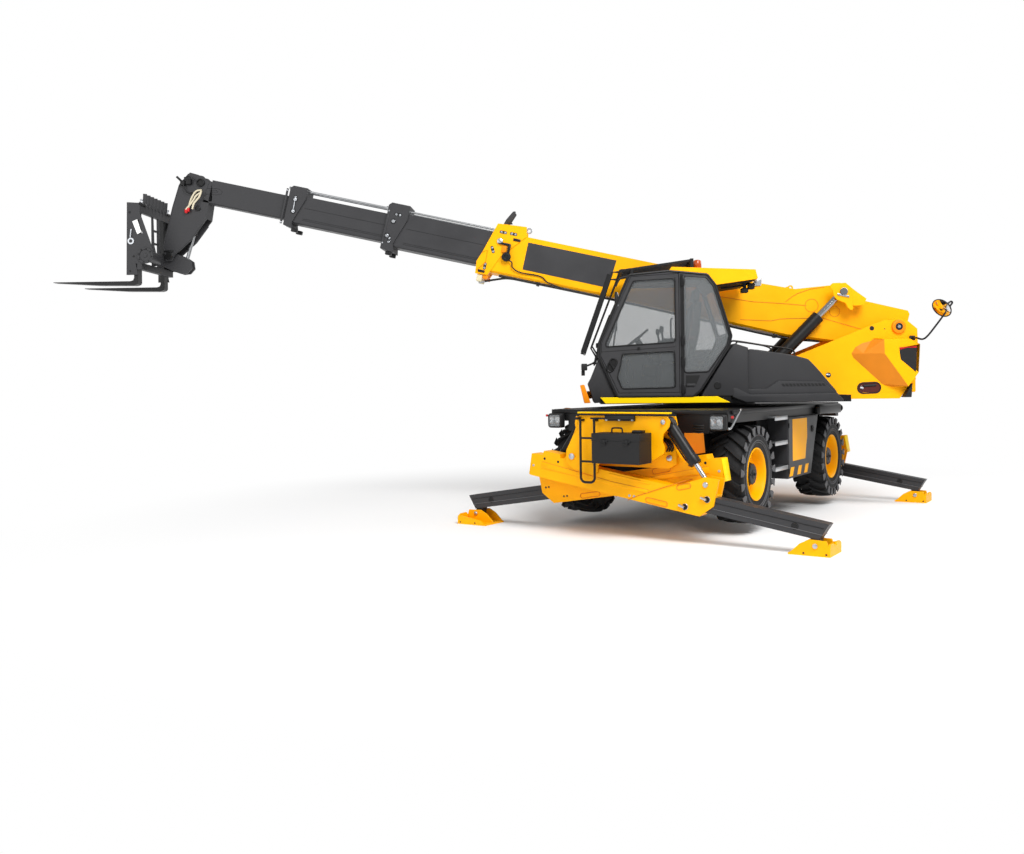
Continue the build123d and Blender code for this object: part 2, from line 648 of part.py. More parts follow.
    ram_top = (station, side * RAM_PIN_SIDE, RAM_PIN_HEIGHT)
    rod_pin = beam_point(station, side, ROD_PIN_ALONG, ROD_PIN_ABOVE)
    ram_plane = line_plane(ram_top, rod_pin, (side, 0, 0))
    ram_run = hypot(rod_pin[1] - ram_top[1], rod_pin[2] - ram_top[2])
    ram_axis = Axis(ram_top, Vector(*rod_pin) - Vector(*ram_top))
    with BuildPart() as ram_tube:
        with BuildSketch(ram_plane):
            Polygon(
                (58, 0),
                (58, RAM_TUBE_RADIUS),
                (RAM_TUBE_LENGTH, RAM_TUBE_RADIUS),
                (RAM_TUBE_LENGTH, RAM_ROD_RADIUS + PIN_FIT),
                (RAM_TUBE_LENGTH - 50, RAM_ROD_RADIUS + PIN_FIT),
                (RAM_TUBE_LENGTH - 50, RAM_TUBE_RADIUS - RAM_TUBE_WALL),
                (78, RAM_TUBE_RADIUS - RAM_TUBE_WALL),
                (78, 0),
                align=None,
            )
        revolve(axis=ram_axis)
        with BuildSketch(ram_plane):
            Circle(RAM_TUBE_RADIUS - 6)
            with Locations((34, 0)):
                Rectangle(68, 2 * RAM_TUBE_RADIUS - 12)
            Circle(RAM_PIN_RADIUS + PIN_FIT, mode=Mode.SUBTRACT)
        extrude(amount=55, both=True)
    ram_tube.part.label = "stabiliser_ram_tube_" + corner
    export_step(ram_tube.part, "parts/stabiliser_ram_tube_" + corner + ".step")

    with BuildPart() as ram_rod:
        with BuildSketch(ram_plane):
            Polygon(
                (ram_run - RAM_ROD_LENGTH, 0),
                (ram_run - RAM_ROD_LENGTH, RAM_TUBE_RADIUS - RAM_TUBE_WALL - PIN_FIT),
                (ram_run - RAM_ROD_LENGTH + 45, RAM_TUBE_RADIUS - RAM_TUBE_WALL - PIN_FIT),
                (ram_run - RAM_ROD_LENGTH + 45, RAM_ROD_RADIUS),
                (ram_run - 20, RAM_ROD_RADIUS),
                (ram_run - 20, 0),
                align=None,
            )
        revolve(axis=ram_axis)
        with BuildSketch(ram_plane):
            with Locations((ram_run, 0)):
                Circle(RAM_EYE_RADIUS)
        extrude(amount=55, both=True)
    ram_rod.part.label = "stabiliser_ram_rod_" + corner
    export_step(ram_rod.part, "parts/stabiliser_ram_rod_" + corner + ".step")

# ================================================================ front fittings
TOOLBOX_FACE = 2980.0
FRONT_PLATE_FACE = OUTER_STATION + BEAM_WIDTH / 2 + PLATE_GAP + PLATE
with BuildPart() as toolbox:
    with BuildSketch(across(FRONT_PLATE_FACE)):
        with Locations((157, 1040)):
            Rectangle(588, 326)
    extrude(amount=TOOLBOX_FACE - FRONT_PLATE_FACE)
toolbox.part.label = "toolbox"
export_step(toolbox.part, "parts/toolbox.step")

with BuildPart() as ladder:
    rail = Plane(origin=(2760, 0, 0), x_dir=(0, 1, 0), z_dir=(1, 0, 0))
    with BuildLine(rail) as ladder_path:
        FilletPolyline((-410, 1352), (-410, 632), (-228, 632), (-228, 1352), radius=60)
    with BuildSketch(Plane(origin=(2760, -410, 1352), x_dir=(1, 0, 0), z_dir=(0, 0, -1))):
        Circle(14)
    sweep(path=ladder_path.line)
    for z in (870, 1137):
        with BuildSketch(Plane(origin=(2760, -410, z), x_dir=(1, 0, 0), z_dir=(0, 1, 0))):
            Circle(12)
        extrude(amount=182)
    for y in (-410, -228):
        with BuildSketch(Plane(origin=(2774, y, 1340), x_dir=(0, 1, 0), z_dir=(-1, 0, 0))):
            Circle(14)
        extrude(amount=2774 - FRONT_PLATE_FACE)
ladder.part.label = "ladder"
export_step(ladder.part, "parts/ladder.step")

with BuildPart() as lamps:
    for side in (-1, 1):
        with BuildSketch(across(BUMPER_END + SEAT_GAP)):
            with Locations((side * 1060, 1315)):
                Rectangle(220, 150)
        extrude(amount=110)
        with BuildSketch(across(-BUMPER_END - SEAT_GAP)):
            with Locations((side * 1090, 1350)):
                Rectangle(110, 90)
        extrude(amount=-60)
lamps.part.label = "lamps"
export_step(lamps.part, "parts/lamps.step")

# ================================================================ turret
LEFT_TOWER = BOOM_CENTRE + TOWER_GAP + TOWER_PLATE
RIGHT_TOWER = BOOM_CENTRE - TOWER_GAP
TOWER = [
    (-430, BASE_TOP - 20),
    (-430, 1800),
    (-1158, 2115),
    (-2074, 2479),
    (-2276, 2556),
    (-2579, 2541),
    (-2700, 2437),
    (-2708, 2153),
    (-2671, 1835),
    (-2478, 1537),
    (-1700, 1515),
    (-1600, BASE_TOP - 20),
]
with BuildPart() as turret_frame:
    with BuildSketch(turret_level(RING_TOP + SEAT_GAP)):
        with BuildLine():
            Polyline(
                (1500, 1200), (-110, 1200), (-300, 1010), (-1640, 1010), (-1640, -1010),
                (-300, -1010), (-110, -1200), (1300, -1200), (1500, -1000),
                close=True,
            )
        make_face()
    extrude(amount=BASE_TOP - RING_TOP - SEAT_GAP)
    for near in (LEFT_TOWER, RIGHT_TOWER):
        with BuildSketch(turret_side(near)):
            with BuildLine():
                Polyline(TOWER, close=True)
            make_face()
        extrude(amount=TOWER_PLATE)
    with BuildSketch(turret_side(LEFT_TOWER - TOWER_PLATE)):
        with BuildLine():
            Polyline(
                (-1640, 1520), (-1640, 1980), (-2560, 1980), (-2660, 1835), (-2470, 1540),
                close=True,
            )
        make_face()
    extrude(amount=2 * TOWER_GAP)
    with BuildSketch(turret_side(LEFT_TOWER + 25)):
        with Locations((PIVOT_X, PIVOT_Z)):
            Circle(80)
    extrude(amount=25)
    with BuildSketch(turret_side(RIGHT_TOWER - TOWER_PLATE)):
        with Locations((PIVOT_X, PIVOT_Z)):
            Circle(80)
    extrude(amount=25)
    with BuildSketch(turret_side(LEFT_TOWER + 30)):
        with Locations((PIVOT_X, PIVOT_Z)):
            Circle(BOOM_PIN_RADIUS)
    extrude(amount=2 * TOWER_GAP + 2 * TOWER_PLATE + 60)
    for side in (1, -1):
        ram_centre = BOOM_CENTRE + side * LIFT_RAM_OFFSET
        inner_lug = BOOM_CENTRE + side * (LIFT_RAM_OFFSET - 125)
        with BuildSketch(turret_side(inner_lug + 20)):
            with BuildLine():
                Polyline(
                    (-680, BASE_TOP - 20), (-600, 1760), (-480, 1760), (-400, BASE_TOP - 20),
                    close=True,
                )
            make_face()
        extrude(amount=40)
        with BuildSketch(turret_side(ram_centre + 130)):
            with Locations((LIFT_FOOT_X, LIFT_FOOT_Z)):
                Circle(LIFT_PIN_RADIUS)
        extrude(amount=260)
turret_frame.part.label = "turret_frame"
export_step(turret_frame.part, "parts/turret_frame.step")

COVER_OUTER = 1180.0
COVER_PROFILE = [
    (-330, 1500),
    (-330, 2175),
    (-868, 2093),
    (-1078, 2037),
    (-1182, 1929),
    (-1473, 1574),
    (-1494, 1531),
    (-1490, 1500),
]
with BuildPart() as side_covers:
    for near, far in ((COVER_OUTER, LEFT_TOWER + 2), (RIGHT_TOWER - TOWER_PLATE - 2, -COVER_OUTER)):
        with BuildSketch(turret_side(near)):
            with BuildLine():
                Polyline(COVER_PROFILE, close=True)
            make_face()
        extrude(amount=near - far)
    with BuildSketch(turret_level(1400)):
        Rectangle(4000, 2 * 1012)
    extrude(amount=BASE_TOP - 1400, mode=Mode.SUBTRACT)
    with BuildSketch(turret_side(1212)):
        with BuildLine():
            Polyline(
                (-332, BASE_TOP), (-332, 2185), (-165, 2240), (-95, 2150), (255, BASE_TOP),
                (-135, BASE_TOP),
                close=True,
            )
        make_face()
    extrude(amount=1212 - CAB_INNER)
side_covers.part.label = "side_covers"
export_step(side_covers.part, "parts/side_covers.step")

# ---------------------------------------------------------------- cab
CAB_OUTLINE = [
    (1123, 3108),
    (642, 3145),
    (164, 3096),
    (66, 2966),
    (-124, 2333),
    (-90, 2201),
    (262, 1658),
    (345, CAB_FLOOR),
    (1289, CAB_FLOOR),
    (1516, 2105),
    (1498, 2271),
]
DOOR_OUTLINE = [
    (1106, 3080),
    (520, 3112),
    (520, 1640),
    (1268, 1640),
    (1490, 2107),
    (1474, 2266),
]
DOOR_UPPER = [(1078, 3034), (562, 3062), (562, 2262), (1420, 2214), (1432, 2250)]
DOOR_LOWER = [(1225, 2128), (575, 2158), (568, 1700), (1230, 1690), (1290, 1835), (1250, 1980)]
QUARTER = [(430, 3062), (190, 3042), (110, 2950), (-74, 2330), (-48, 2226), (180, 1920), (430, 1910)]
with BuildPart() as cab_frame:
    with BuildSketch(turret_side(CAB_OUTER)):
        with BuildLine():
            Polyline(CAB_OUTLINE, close=True)
        make_face()
    extrude(amount=CAB_OUTER - CAB_INNER)
    with BuildSketch(turret_side(CAB_OUTER - CAB_WALL)):
        with BuildLine():
            Polyline(CAB_OUTLINE, close=True)
        make_face()
        offset(amount=-CAB_WALL, kind=Kind.INTERSECTION, mode=Mode.REPLACE)
    extrude(amount=CAB_OUTER - CAB_INNER - 2 * CAB_WALL, mode=Mode.SUBTRACT)
    with BuildSketch(turret_side(CAB_OUTER + 1)):
        with BuildLine():
            Polyline(DOOR_OUTLINE, close=True)
        make_face()
        offset(amount=PANEL_GAP, kind=Kind.INTERSECTION, mode=Mode.REPLACE)
    extrude(amount=CAB_WALL + 2, mode=Mode.SUBTRACT)
    with BuildSketch(turret_side(CAB_OUTER + 1)):
        with BuildLine():
            Polyline(QUARTER, close=True)
        make_face()
    extrude(amount=CAB_WALL + 2, mode=Mode.SUBTRACT)
    with BuildSketch(turret_side(CAB_INNER + CAB_WALL + 1)):
        with BuildLine():
            Polyline(
                (1078, 3034), (190, 3042), (110, 2950), (-74, 2330), (-20, 2200), (1400, 2150),
                close=True,
            )
        make_face()
    extrude(amount=CAB_WALL + 2, mode=Mode.SUBTRACT)
    with BuildSketch(cab_wall((1498, 2271), (1123, 3108))):
        Rectangle(CAB_OUTER - CAB_INNER - 110, 800)
    extrude(amount=CAB_WALL + 20, both=True, mode=Mode.SUBTRACT)
    with BuildSketch(cab_wall((1289, CAB_FLOOR), (1516, 2105))):
        Rectangle(CAB_OUTER - CAB_INNER - 110, 440)
    extrude(amount=CAB_WALL + 20, both=True, mode=Mode.SUBTRACT)
    with BuildSketch(cab_wall((-124, 2333), (66, 2966))):
        Rectangle(CAB_OUTER - CAB_INNER - 110, 560)
    extrude(amount=CAB_WALL + 20, both=True, mode=Mode.SUBTRACT)
cab_frame.part.label = "cab_frame"
export_step(cab_frame.part, "parts/cab_frame.step")

GLASS = 6.0
with BuildPart() as cab_glass:
    with BuildSketch(turret_side(CAB_OUTER - 18)):
        with BuildLine():
            Polyline(QUARTER, close=True)
        make_face()
    extrude(amount=GLASS)
    with BuildSketch(turret_side(CAB_INNER + 24)):
        with BuildLine():
            Polyline(
                (1078, 3034), (190, 3042), (110, 2950), (-74, 2330), (-20, 2200), (1400, 2150),
                close=True,
            )
        make_face()
    extrude(amount=GLASS)
    with BuildSketch(cab_wall((1498, 2271), (1123, 3108)).offset(-18)):
        Rectangle(CAB_OUTER - CAB_INNER - 110, 800)
    extrude(amount=-GLASS)
    with BuildSketch(cab_wall((1289, CAB_FLOOR), (1516, 2105)).offset(-18)):
        Rectangle(CAB_OUTER - CAB_INNER - 110, 440)
    extrude(amount=-GLASS)
    with BuildSketch(cab_wall((-124, 2333), (66, 2966)).offset(18)):
        Rectangle(CAB_OUTER - CAB_INNER - 110, 560)
    extrude(amount=GLASS)
cab_glass.part.label = "cab_glass"
export_step(cab_glass.part, "parts/cab_glass.step")

with BuildPart() as cab_door:
    with BuildSketch(turret_side(CAB_OUTER)):
        with BuildLine():
            Polyline(DOOR_OUTLINE, close=True)
        make_face()
        with BuildLine():
            Polyline(DOOR_UPPER, close=True)
        make_face(mode=Mode.SUBTRACT)
        with BuildLine():
            Polyline(DOOR_LOWER, close=True)
        make_face(mode=Mode.SUBTRACT)
    extrude(amount=CAB_WALL)
cab_door.part.label = "cab_door"
export_step(cab_door.part, "parts/cab_door.step")

with BuildPart() as door_glass:
    for pane in (DOOR_UPPER, DOOR_LOWER):
        with BuildSketch(turret_side(CAB_OUTER - 18)):
            with BuildLine():
                Polyline(pane, close=True)
            make_face()
        extrude(amount=GLASS)
door_glass.part.label = "door_glass"
export_step(door_glass.part, "parts/door_glass.step")

with BuildPart() as cab_roof:
    with BuildSketch(turret_side(CAB_OUTER)):
        with BuildLine():
            Polyline(
                (642, 3145), (600, 3198), (-430, 3150), (-460, 3036), (-10, 2976), (66, 2966),
                (164, 3096),
                close=True,
            )
        make_face()
    extrude(amount=CAB_OUTER - CAB_INNER)
    with BuildSketch(turret_level(BEACON_SEAT)):
        with Locations(BEACON_PLACE):
            Circle(BEACON_RADIUS + 8)
    extrude(amount=-50)
cab_roof.part.label = "cab_roof"
export_step(cab_roof.part, "parts/cab_roof.step")

with BuildPart() as roof_guard:
    bars = 12
    pitch = (CAB_OUTER - CAB_INNER - 60) / (bars - 1)
    for number in range(bars):
        with BuildSketch(turret_side(CAB_OUTER - 20 - number * pitch)):
            with BuildLine():
                Polyline(
                    (1240, 3150), (1236, 3176), (340, 3296), (340, 3270),
                    close=True,
                )
            make_face()
        extrude(amount=20)
    with BuildSketch(turret_side(CAB_OUTER - 10)):
        with BuildLine():
            Polyline((1205, 3140), (1245, 3140), (1250, 3176), (1205, 3182), close=True)
        make_face()
        with BuildLine():
            Polyline((1075, 3112.2), (1110, 3109.5), (1110, 3185), (1075, 3190), close=True)
        make_face()
        with BuildLine():
            Polyline((330, 3185.8), (370, 3187.7), (370, 3300), (330, 3300), close=True)
        make_face()
    extrude(amount=CAB_OUTER - CAB_INNER - 20)
roof_guard.part.label = "roof_guard"
export_step(roof_guard.part, "parts/roof_guard.step")

with BuildPart() as seat:
    with BuildSketch(turret_side(980)):
        with BuildLine():
            Polyline(
                (440, CAB_FLOOR + CAB_WALL), (750, CAB_FLOOR + CAB_WALL), (860, 2040), (860, 2110),
                (420, 2110), (300, 2800), (190, 2780), (250, 2080),
                close=True,
            )
        make_face()
    extrude(amount=500)
seat.part.label = "seat"
export_step(seat.part, "parts/seat.step")

with BuildPart() as beacon:
    with BuildSketch(turret_level(BEACON_SEAT)):
        with Locations(BEACON_PLACE):
            Circle(BEACON_RADIUS)
    extrude(amount=24)
    with BuildSketch(turret_level(BEACON_SEAT + 24)):
        with Locations(BEACON_PLACE):
            Circle(BEACON_RADIUS - 10)
    extrude(amount=BEACON_TOP - BEACON_SEAT - 24)
beacon.part.label = "beacon"
export_step(beacon.part, "parts/beacon.step")

with BuildPart() as mirror:
    arm_start = turret_point(-2600, LEFT_TOWER, 2313)
    arm_points = [
        arm_start,
        turret_point(-2600, 560, 2313),
        turret_point(-2720, 600, 2299),
        turret_point(-3050, 600, 2730),
    ]
    with BuildLine() as mirror_path:
        FilletPolyline(arm_points, radius=40)
    with BuildSketch(Plane(origin=arm_start, z_dir=LEFT)):
        Circle(14)
    sweep(path=mirror_path.line)
    with BuildSketch(
        Plane(origin=turret_point(-2930, 600, 2690), z_dir=(FORWARD * 0.75 + LEFT * 0.6 + UP * -0.2))
    ):
        Circle(135)
    extrude(amount=22, both=True)
mirror.part.label = "mirror"
export_step(mirror.part, "parts/mirror.step")

# ================================================================ boom
def lower_edges(edges, half_width, height):
    """Long edges along the boom at its lower corners, below a height from the pivot line."""
    frame = boom_cross(0)
    found = []
    for edge in edges:
        ends = [frame.to_local_coords(point) for point in (edge @ 0, edge @ 1)]
        beside = all(abs(abs(point.X) - half_width) < 0.1 for point in ends)
        below = all(point.Y < height for point in ends)
        if beside and below and abs(ends[0].Z - ends[1].Z) > 1000:
            found.append(edge)
    return found


with BuildPart() as boom_outer:
    with BuildSketch(boom_side(BOOM_HALF_WIDTH)):
        with BuildLine():
            Polyline(
                (-182, 131), (-185, 227), (-153, 267), (421, 278), (471, 291), (649, 361),
                (782, 433), (958, 380), (1380, 245), (2500, OUTER_TOP), (MOUTH, OUTER_TOP),
                (MOUTH, OUTER_BOTTOM), (3800, OUTER_BOTTOM), (1356, -400), (500, -330),
                (-60, -120),
                close=True,
            )
        make_face()
    extrude(amount=2 * BOOM_HALF_WIDTH)
    with BuildSketch(boom_cross(400)):
        with Locations((0, SECTION_AXIS)):
            Rectangle(2 * (SECOND_HALF[0] + 18), 2 * (SECOND_HALF[1] + 2))
    extrude(amount=MOUTH - 400 - PAD_LENGTH, mode=Mode.SUBTRACT)
    with BuildSketch(boom_cross(MOUTH + 400)):
        with Locations((0, SECTION_AXIS)):
            Rectangle(2 * (SECOND_HALF[0] + SLIDE_FIT), 2 * (SECOND_HALF[1] + SLIDE_FIT))
    extrude(amount=-PAD_LENGTH - 500, mode=Mode.SUBTRACT)
    for near in (BOOM_HALF_WIDTH + 14, -SECOND_HALF[0] - SLIDE_FIT):
        with BuildSketch(boom_side(near)):
            with BuildLine():
                Polyline(
                    (MOUTH + 2, 305), (MOUTH - 394, 336), (MOUTH - 422, 207), (MOUTH - 128, -129),
                    (MOUTH, -413), (MOUTH + 171, -421), (MOUTH + 185, -255), (MOUTH + 131, -115),
                    close=True,
                )
            make_face()
        extrude(amount=BOOM_HALF_WIDTH + 14 - SECOND_HALF[0] - SLIDE_FIT)
    with BuildSketch(boom_side(BOOM_HALF_WIDTH)):
        with BuildLine():
            Polyline(
                (MOUTH - 200, 200), (MOUTH - 200, 300), (MOUTH + 2, 290), (MOUTH + 2, 200), close=True
            )
        make_face()
        with BuildLine():
            Polyline(
                (MOUTH, -400), (MOUTH, -340), (MOUTH + 171, -340), (MOUTH + 171, -400), close=True
            )
        make_face()
    extrude(amount=2 * BOOM_HALF_WIDTH)
    with BuildSketch(boom_cross(MOUTH + 200)):
        with Locations((0, SECTION_AXIS)):
            Rectangle(2 * (SECOND_HALF[0] + SLIDE_FIT), 2 * (SECOND_HALF[1] + SLIDE_FIT))
        for side in (-1, 1):
            with Locations((side * SECOND_PIPES, PIPE_ABOVE), (side * THIRD_PIPES, PIPE_ABOVE)):
                Circle(PIPE_HOLE)
    extrude(amount=-405, mode=Mode.SUBTRACT)
    with BuildSketch(boom_side(TOWER_GAP - SEAT_GAP)):
        Circle(120)
    extrude(amount=2 * (TOWER_GAP - SEAT_GAP))
    with BuildSketch(boom_side(TOWER_GAP)):
        Circle(BOOM_PIN_RADIUS + PIN_FIT)
    extrude(amount=2 * TOWER_GAP, mode=Mode.SUBTRACT)
    for side in (1, -1):
        with BuildSketch(boom_side(390 if side > 0 else -370)):
            with BuildLine():
                Polyline(
                    (470, 285), (649, 365), (782, 436), (905, 400), (870, 300), (760, 200),
                    (600, 160), (480, 200),
                    close=True,
                )
            make_face()
        extrude(amount=20)
        with BuildSketch(boom_side(390 if side > 0 else -200)):
            with BuildLine():
                Polyline((470, 285), (649, 365), (690, 387), (680, 360), (500, 260), close=True)
            make_face()
        extrude(amount=190)
    chamfer(lower_edges(boom_outer.edges(), BOOM_HALF_WIDTH, OUTER_BOTTOM + 5), BOOM_BEVEL)
    for face in (-1, 1):
        with BuildSketch(boom_side(face * (BOOM_HALF_WIDTH + 14))):
            for along, above, turn in MOUTH_SLOTS:
                with Locations(Location((along, above, 0), (0, 0, turn))):
                    SlotOverall(SLOT_LENGTH, SLOT_WIDTH)
        extrude(amount=face * SLOT_DEPTH, mode=Mode.SUBTRACT)
boom_outer.part.label = "boom_outer"
export_step(boom_outer.part, "parts/boom_outer.step")


def section_table():
    """Telescoping sections: half sizes, inner half sizes, tail, mouth, collar, pipes, slots."""
    return {
        "boom_second": (
            SECOND_HALF, THIRD_HALF, 1500.0, 7020.0, 6740.0, 7035.0, 300.0, -370.0, SECOND_PIPES,
            [(6880.0, 150.0, 0.0), (6935.0, -215.0, 90.0)],
        ),
        "boom_third": (
            THIRD_HALF, INNER_HALF, 3000.0, 8420.0, 8200.0, 8440.0, 260.0, -320.0, THIRD_PIPES,
            [(8345.0, 80.0, 90.0)],
        ),
    }


for name, row in section_table().items():
    half, inside, tail, mouth, collar_back, collar_front, collar_top, collar_bottom = row[:8]
    pipes, slots = row[8:]
    with BuildPart() as section:
        with BuildSketch(boom_cross(tail)):
            with Locations((0, SECTION_AXIS)):
                Rectangle(2 * half[0], 2 * half[1])
                chamfer(vertices().group_by(Axis.Y)[0], SECTION_BEVEL)
                Rectangle(2 * (inside[0] + 16), 2 * (inside[1] + 16), mode=Mode.SUBTRACT)
        extrude(amount=mouth - tail)
        with BuildSketch(boom_side(half[0] + COLLAR_PROUD)):
            with BuildLine():
                Polyline(
                    (collar_front, collar_top - 40), (collar_front - 40, collar_top),
                    (collar_back, collar_top), (collar_back, 100),
                    (collar_back + 130, -250), (collar_back + 110, collar_bottom),
                    (collar_front, collar_bottom + 20),
                    close=True,
                )
            make_face()
        extrude(amount=2 * (half[0] + COLLAR_PROUD))
        with BuildSketch(boom_cross(collar_back - 100)):
            with Locations((0, SECTION_AXIS)):
                Rectangle(2 * (inside[0] + SLIDE_FIT), 2 * (inside[1] + SLIDE_FIT))
            if pipes != THIRD_PIPES:
                with Locations((THIRD_PIPES, PIPE_ABOVE), (-THIRD_PIPES, PIPE_ABOVE)):
                    Circle(PIPE_HOLE)
        extrude(amount=collar_front - collar_back + 300, mode=Mode.SUBTRACT)
        with BuildSketch(boom_cross(collar_back - PIPE_LENGTH)):
            with Locations((pipes, PIPE_ABOVE), (-pipes, PIPE_ABOVE)):
                Circle(PIPE_RADIUS)
        extrude(amount=PIPE_LENGTH + 60)
        for face in (-1, 1):
            with BuildSketch(boom_side(face * (half[0] + COLLAR_PROUD))):
                for along, above, turn in slots:
                    with Locations(Location((along, above, 0), (0, 0, turn))):
                        SlotOverall(SLOT_LENGTH, SLOT_WIDTH)
            extrude(amount=face * SLOT_DEPTH, mode=Mode.SUBTRACT)
    section.part.label = name
    export_step(section.part, "parts/" + name + ".step")

ARM_ROUND = 45.0
ARM_ROUND_ABOVE = 4600.0
ARM_SIDE = [
    (7322, 4610),
    (7420, 4300),
    (7560, 3750),
    (7540, 3640),
    (7518, 3550),
    (7442, 3550),
    (7408, 3620),
    (7176, 3820),
    (6944, 4121),
    (6909, 4345),
    (7000, 4363),
    (6900, 4640),
    (7050, 4740),
    (7171, 4776),
]
with BuildPart() as boom_inner:
    with BuildSketch(boom_cross(4400)):
        with Locations((0, SECTION_AXIS)):
            Rectangle(2 * INNER_HALF[0], 2 * INNER_HALF[1])
            chamfer(vertices().group_by(Axis.Y)[0], SECTION_BEVEL)
    extrude(amount=9560 - 4400)
    for near in (BOOM_CENTRE + ARM_HALF_WIDTH + 8, BOOM_CENTRE - ARM_HALF_WIDTH - 8 + ARM_PLATE):
        with BuildSketch(turret_side(near)):
            with BuildLine():
                Polyline(ARM_SIDE, close=True)
            make_face()
            fillet([v for v in vertices() if v.Z > ARM_ROUND_ABOVE], ARM_ROUND)
        extrude(amount=ARM_PLATE)
    with BuildSketch(turret_side(BOOM_CENTRE + ARM_HALF_WIDTH)):
        with BuildLine():
            Polyline(
                (7322, 4610), (7420, 4300), (7545, 3870), (7515, 3870), (7390, 4290),
                (7300, 4560), (7171, 4740),
                close=True,
            )
        make_face()
        with BuildLine():
            Polyline((6944, 4121), (6909, 4345), (6935, 4345), (6970, 4130), close=True)
        make_face()
    extrude(amount=2 * ARM_HALF_WIDTH)
    with BuildSketch(turret_side(BOOM_CENTRE + ARM_HALF_WIDTH)):
        with Locations((TILT_X, TILT_Z)):
            Circle(TILT_PIN_RADIUS)
        with Locations(TILT_RAM_HEAD):
            Circle(TILT_HEAD_PIN)
    extrude(amount=2 * ARM_HALF_WIDTH)
boom_inner.part.label = "boom_inner"
export_step(boom_inner.part, "parts/boom_inner.step")

# ---------------------------------------------------------------- lift rams
lift_foot = (LIFT_FOOT_X, LIFT_FOOT_Z)
lift_head = (
    PIVOT_X + LIFT_PIN_ALONG * cos(radians(LIFT_ANGLE)) - LIFT_PIN_ABOVE * sin(radians(LIFT_ANGLE)),
    PIVOT_Z + LIFT_PIN_ALONG * sin(radians(LIFT_ANGLE)) + LIFT_PIN_ABOVE * cos(radians(LIFT_ANGLE)),
)
lift_run = hypot(lift_head[0] - lift_foot[0], lift_head[1] - lift_foot[1])


def lift_plane(side):
    """Plane of one lift ram, with X from its foot pin towards its head pin."""
    start = turret_point(lift_foot[0], BOOM_CENTRE + side * LIFT_RAM_OFFSET, lift_foot[1])
    run = FORWARD * (lift_head[0] - lift_foot[0]) + UP * (lift_head[1] - lift_foot[1])
    return Plane(origin=start, x_dir=run, z_dir=LEFT)


with BuildPart() as lift_tubes:
    for side in (1, -1):
        ram = lift_plane(side)
        with BuildSketch(ram):
            Polygon(
                (60, 0),
                (60, LIFT_TUBE_RADIUS),
                (LIFT_TUBE_LENGTH, LIFT_TUBE_RADIUS),
                (LIFT_TUBE_LENGTH, LIFT_ROD_RADIUS + PIN_FIT),
                (LIFT_TUBE_LENGTH - 70, LIFT_ROD_RADIUS + PIN_FIT),
                (LIFT_TUBE_LENGTH - 70, LIFT_TUBE_RADIUS - LIFT_TUBE_WALL),
                (100, LIFT_TUBE_RADIUS - LIFT_TUBE_WALL),
                (100, 0),
                align=None,
            )
        revolve(axis=Axis(ram.origin, ram.x_dir))
        with BuildSketch(ram):
            Circle(LIFT_EYE_RADIUS)
            with Locations((45, 0)):
                Rectangle(90, 2 * LIFT_EYE_RADIUS - 8)
            Circle(LIFT_PIN_RADIUS + PIN_FIT, mode=Mode.SUBTRACT)
        extrude(amount=75, both=True)
lift_tubes.part.label = "lift_tubes"
export_step(lift_tubes.part, "parts/lift_tubes.step")

with BuildPart() as lift_rods:
    for side in (1, -1):
        ram = lift_plane(side)
        with BuildSketch(ram):
            Polygon(
                (lift_run - LIFT_ROD_LENGTH, 0),
                (lift_run - LIFT_ROD_LENGTH, LIFT_TUBE_RADIUS - LIFT_TUBE_WALL - PIN_FIT),
                (lift_run - LIFT_ROD_LENGTH + 60, LIFT_TUBE_RADIUS - LIFT_TUBE_WALL - PIN_FIT),
                (lift_run - LIFT_ROD_LENGTH + 60, LIFT_ROD_RADIUS),
                (lift_run - 30, LIFT_ROD_RADIUS),
                (lift_run - 30, 0),
                align=None,
            )
        revolve(axis=Axis(ram.origin, ram.x_dir))
        with BuildSketch(ram):
            with Locations((lift_run, 0)):
                Circle(62)
        extrude(amount=60, both=True)
lift_rods.part.label = "lift_rods"
export_step(lift_rods.part, "parts/lift_rods.step")

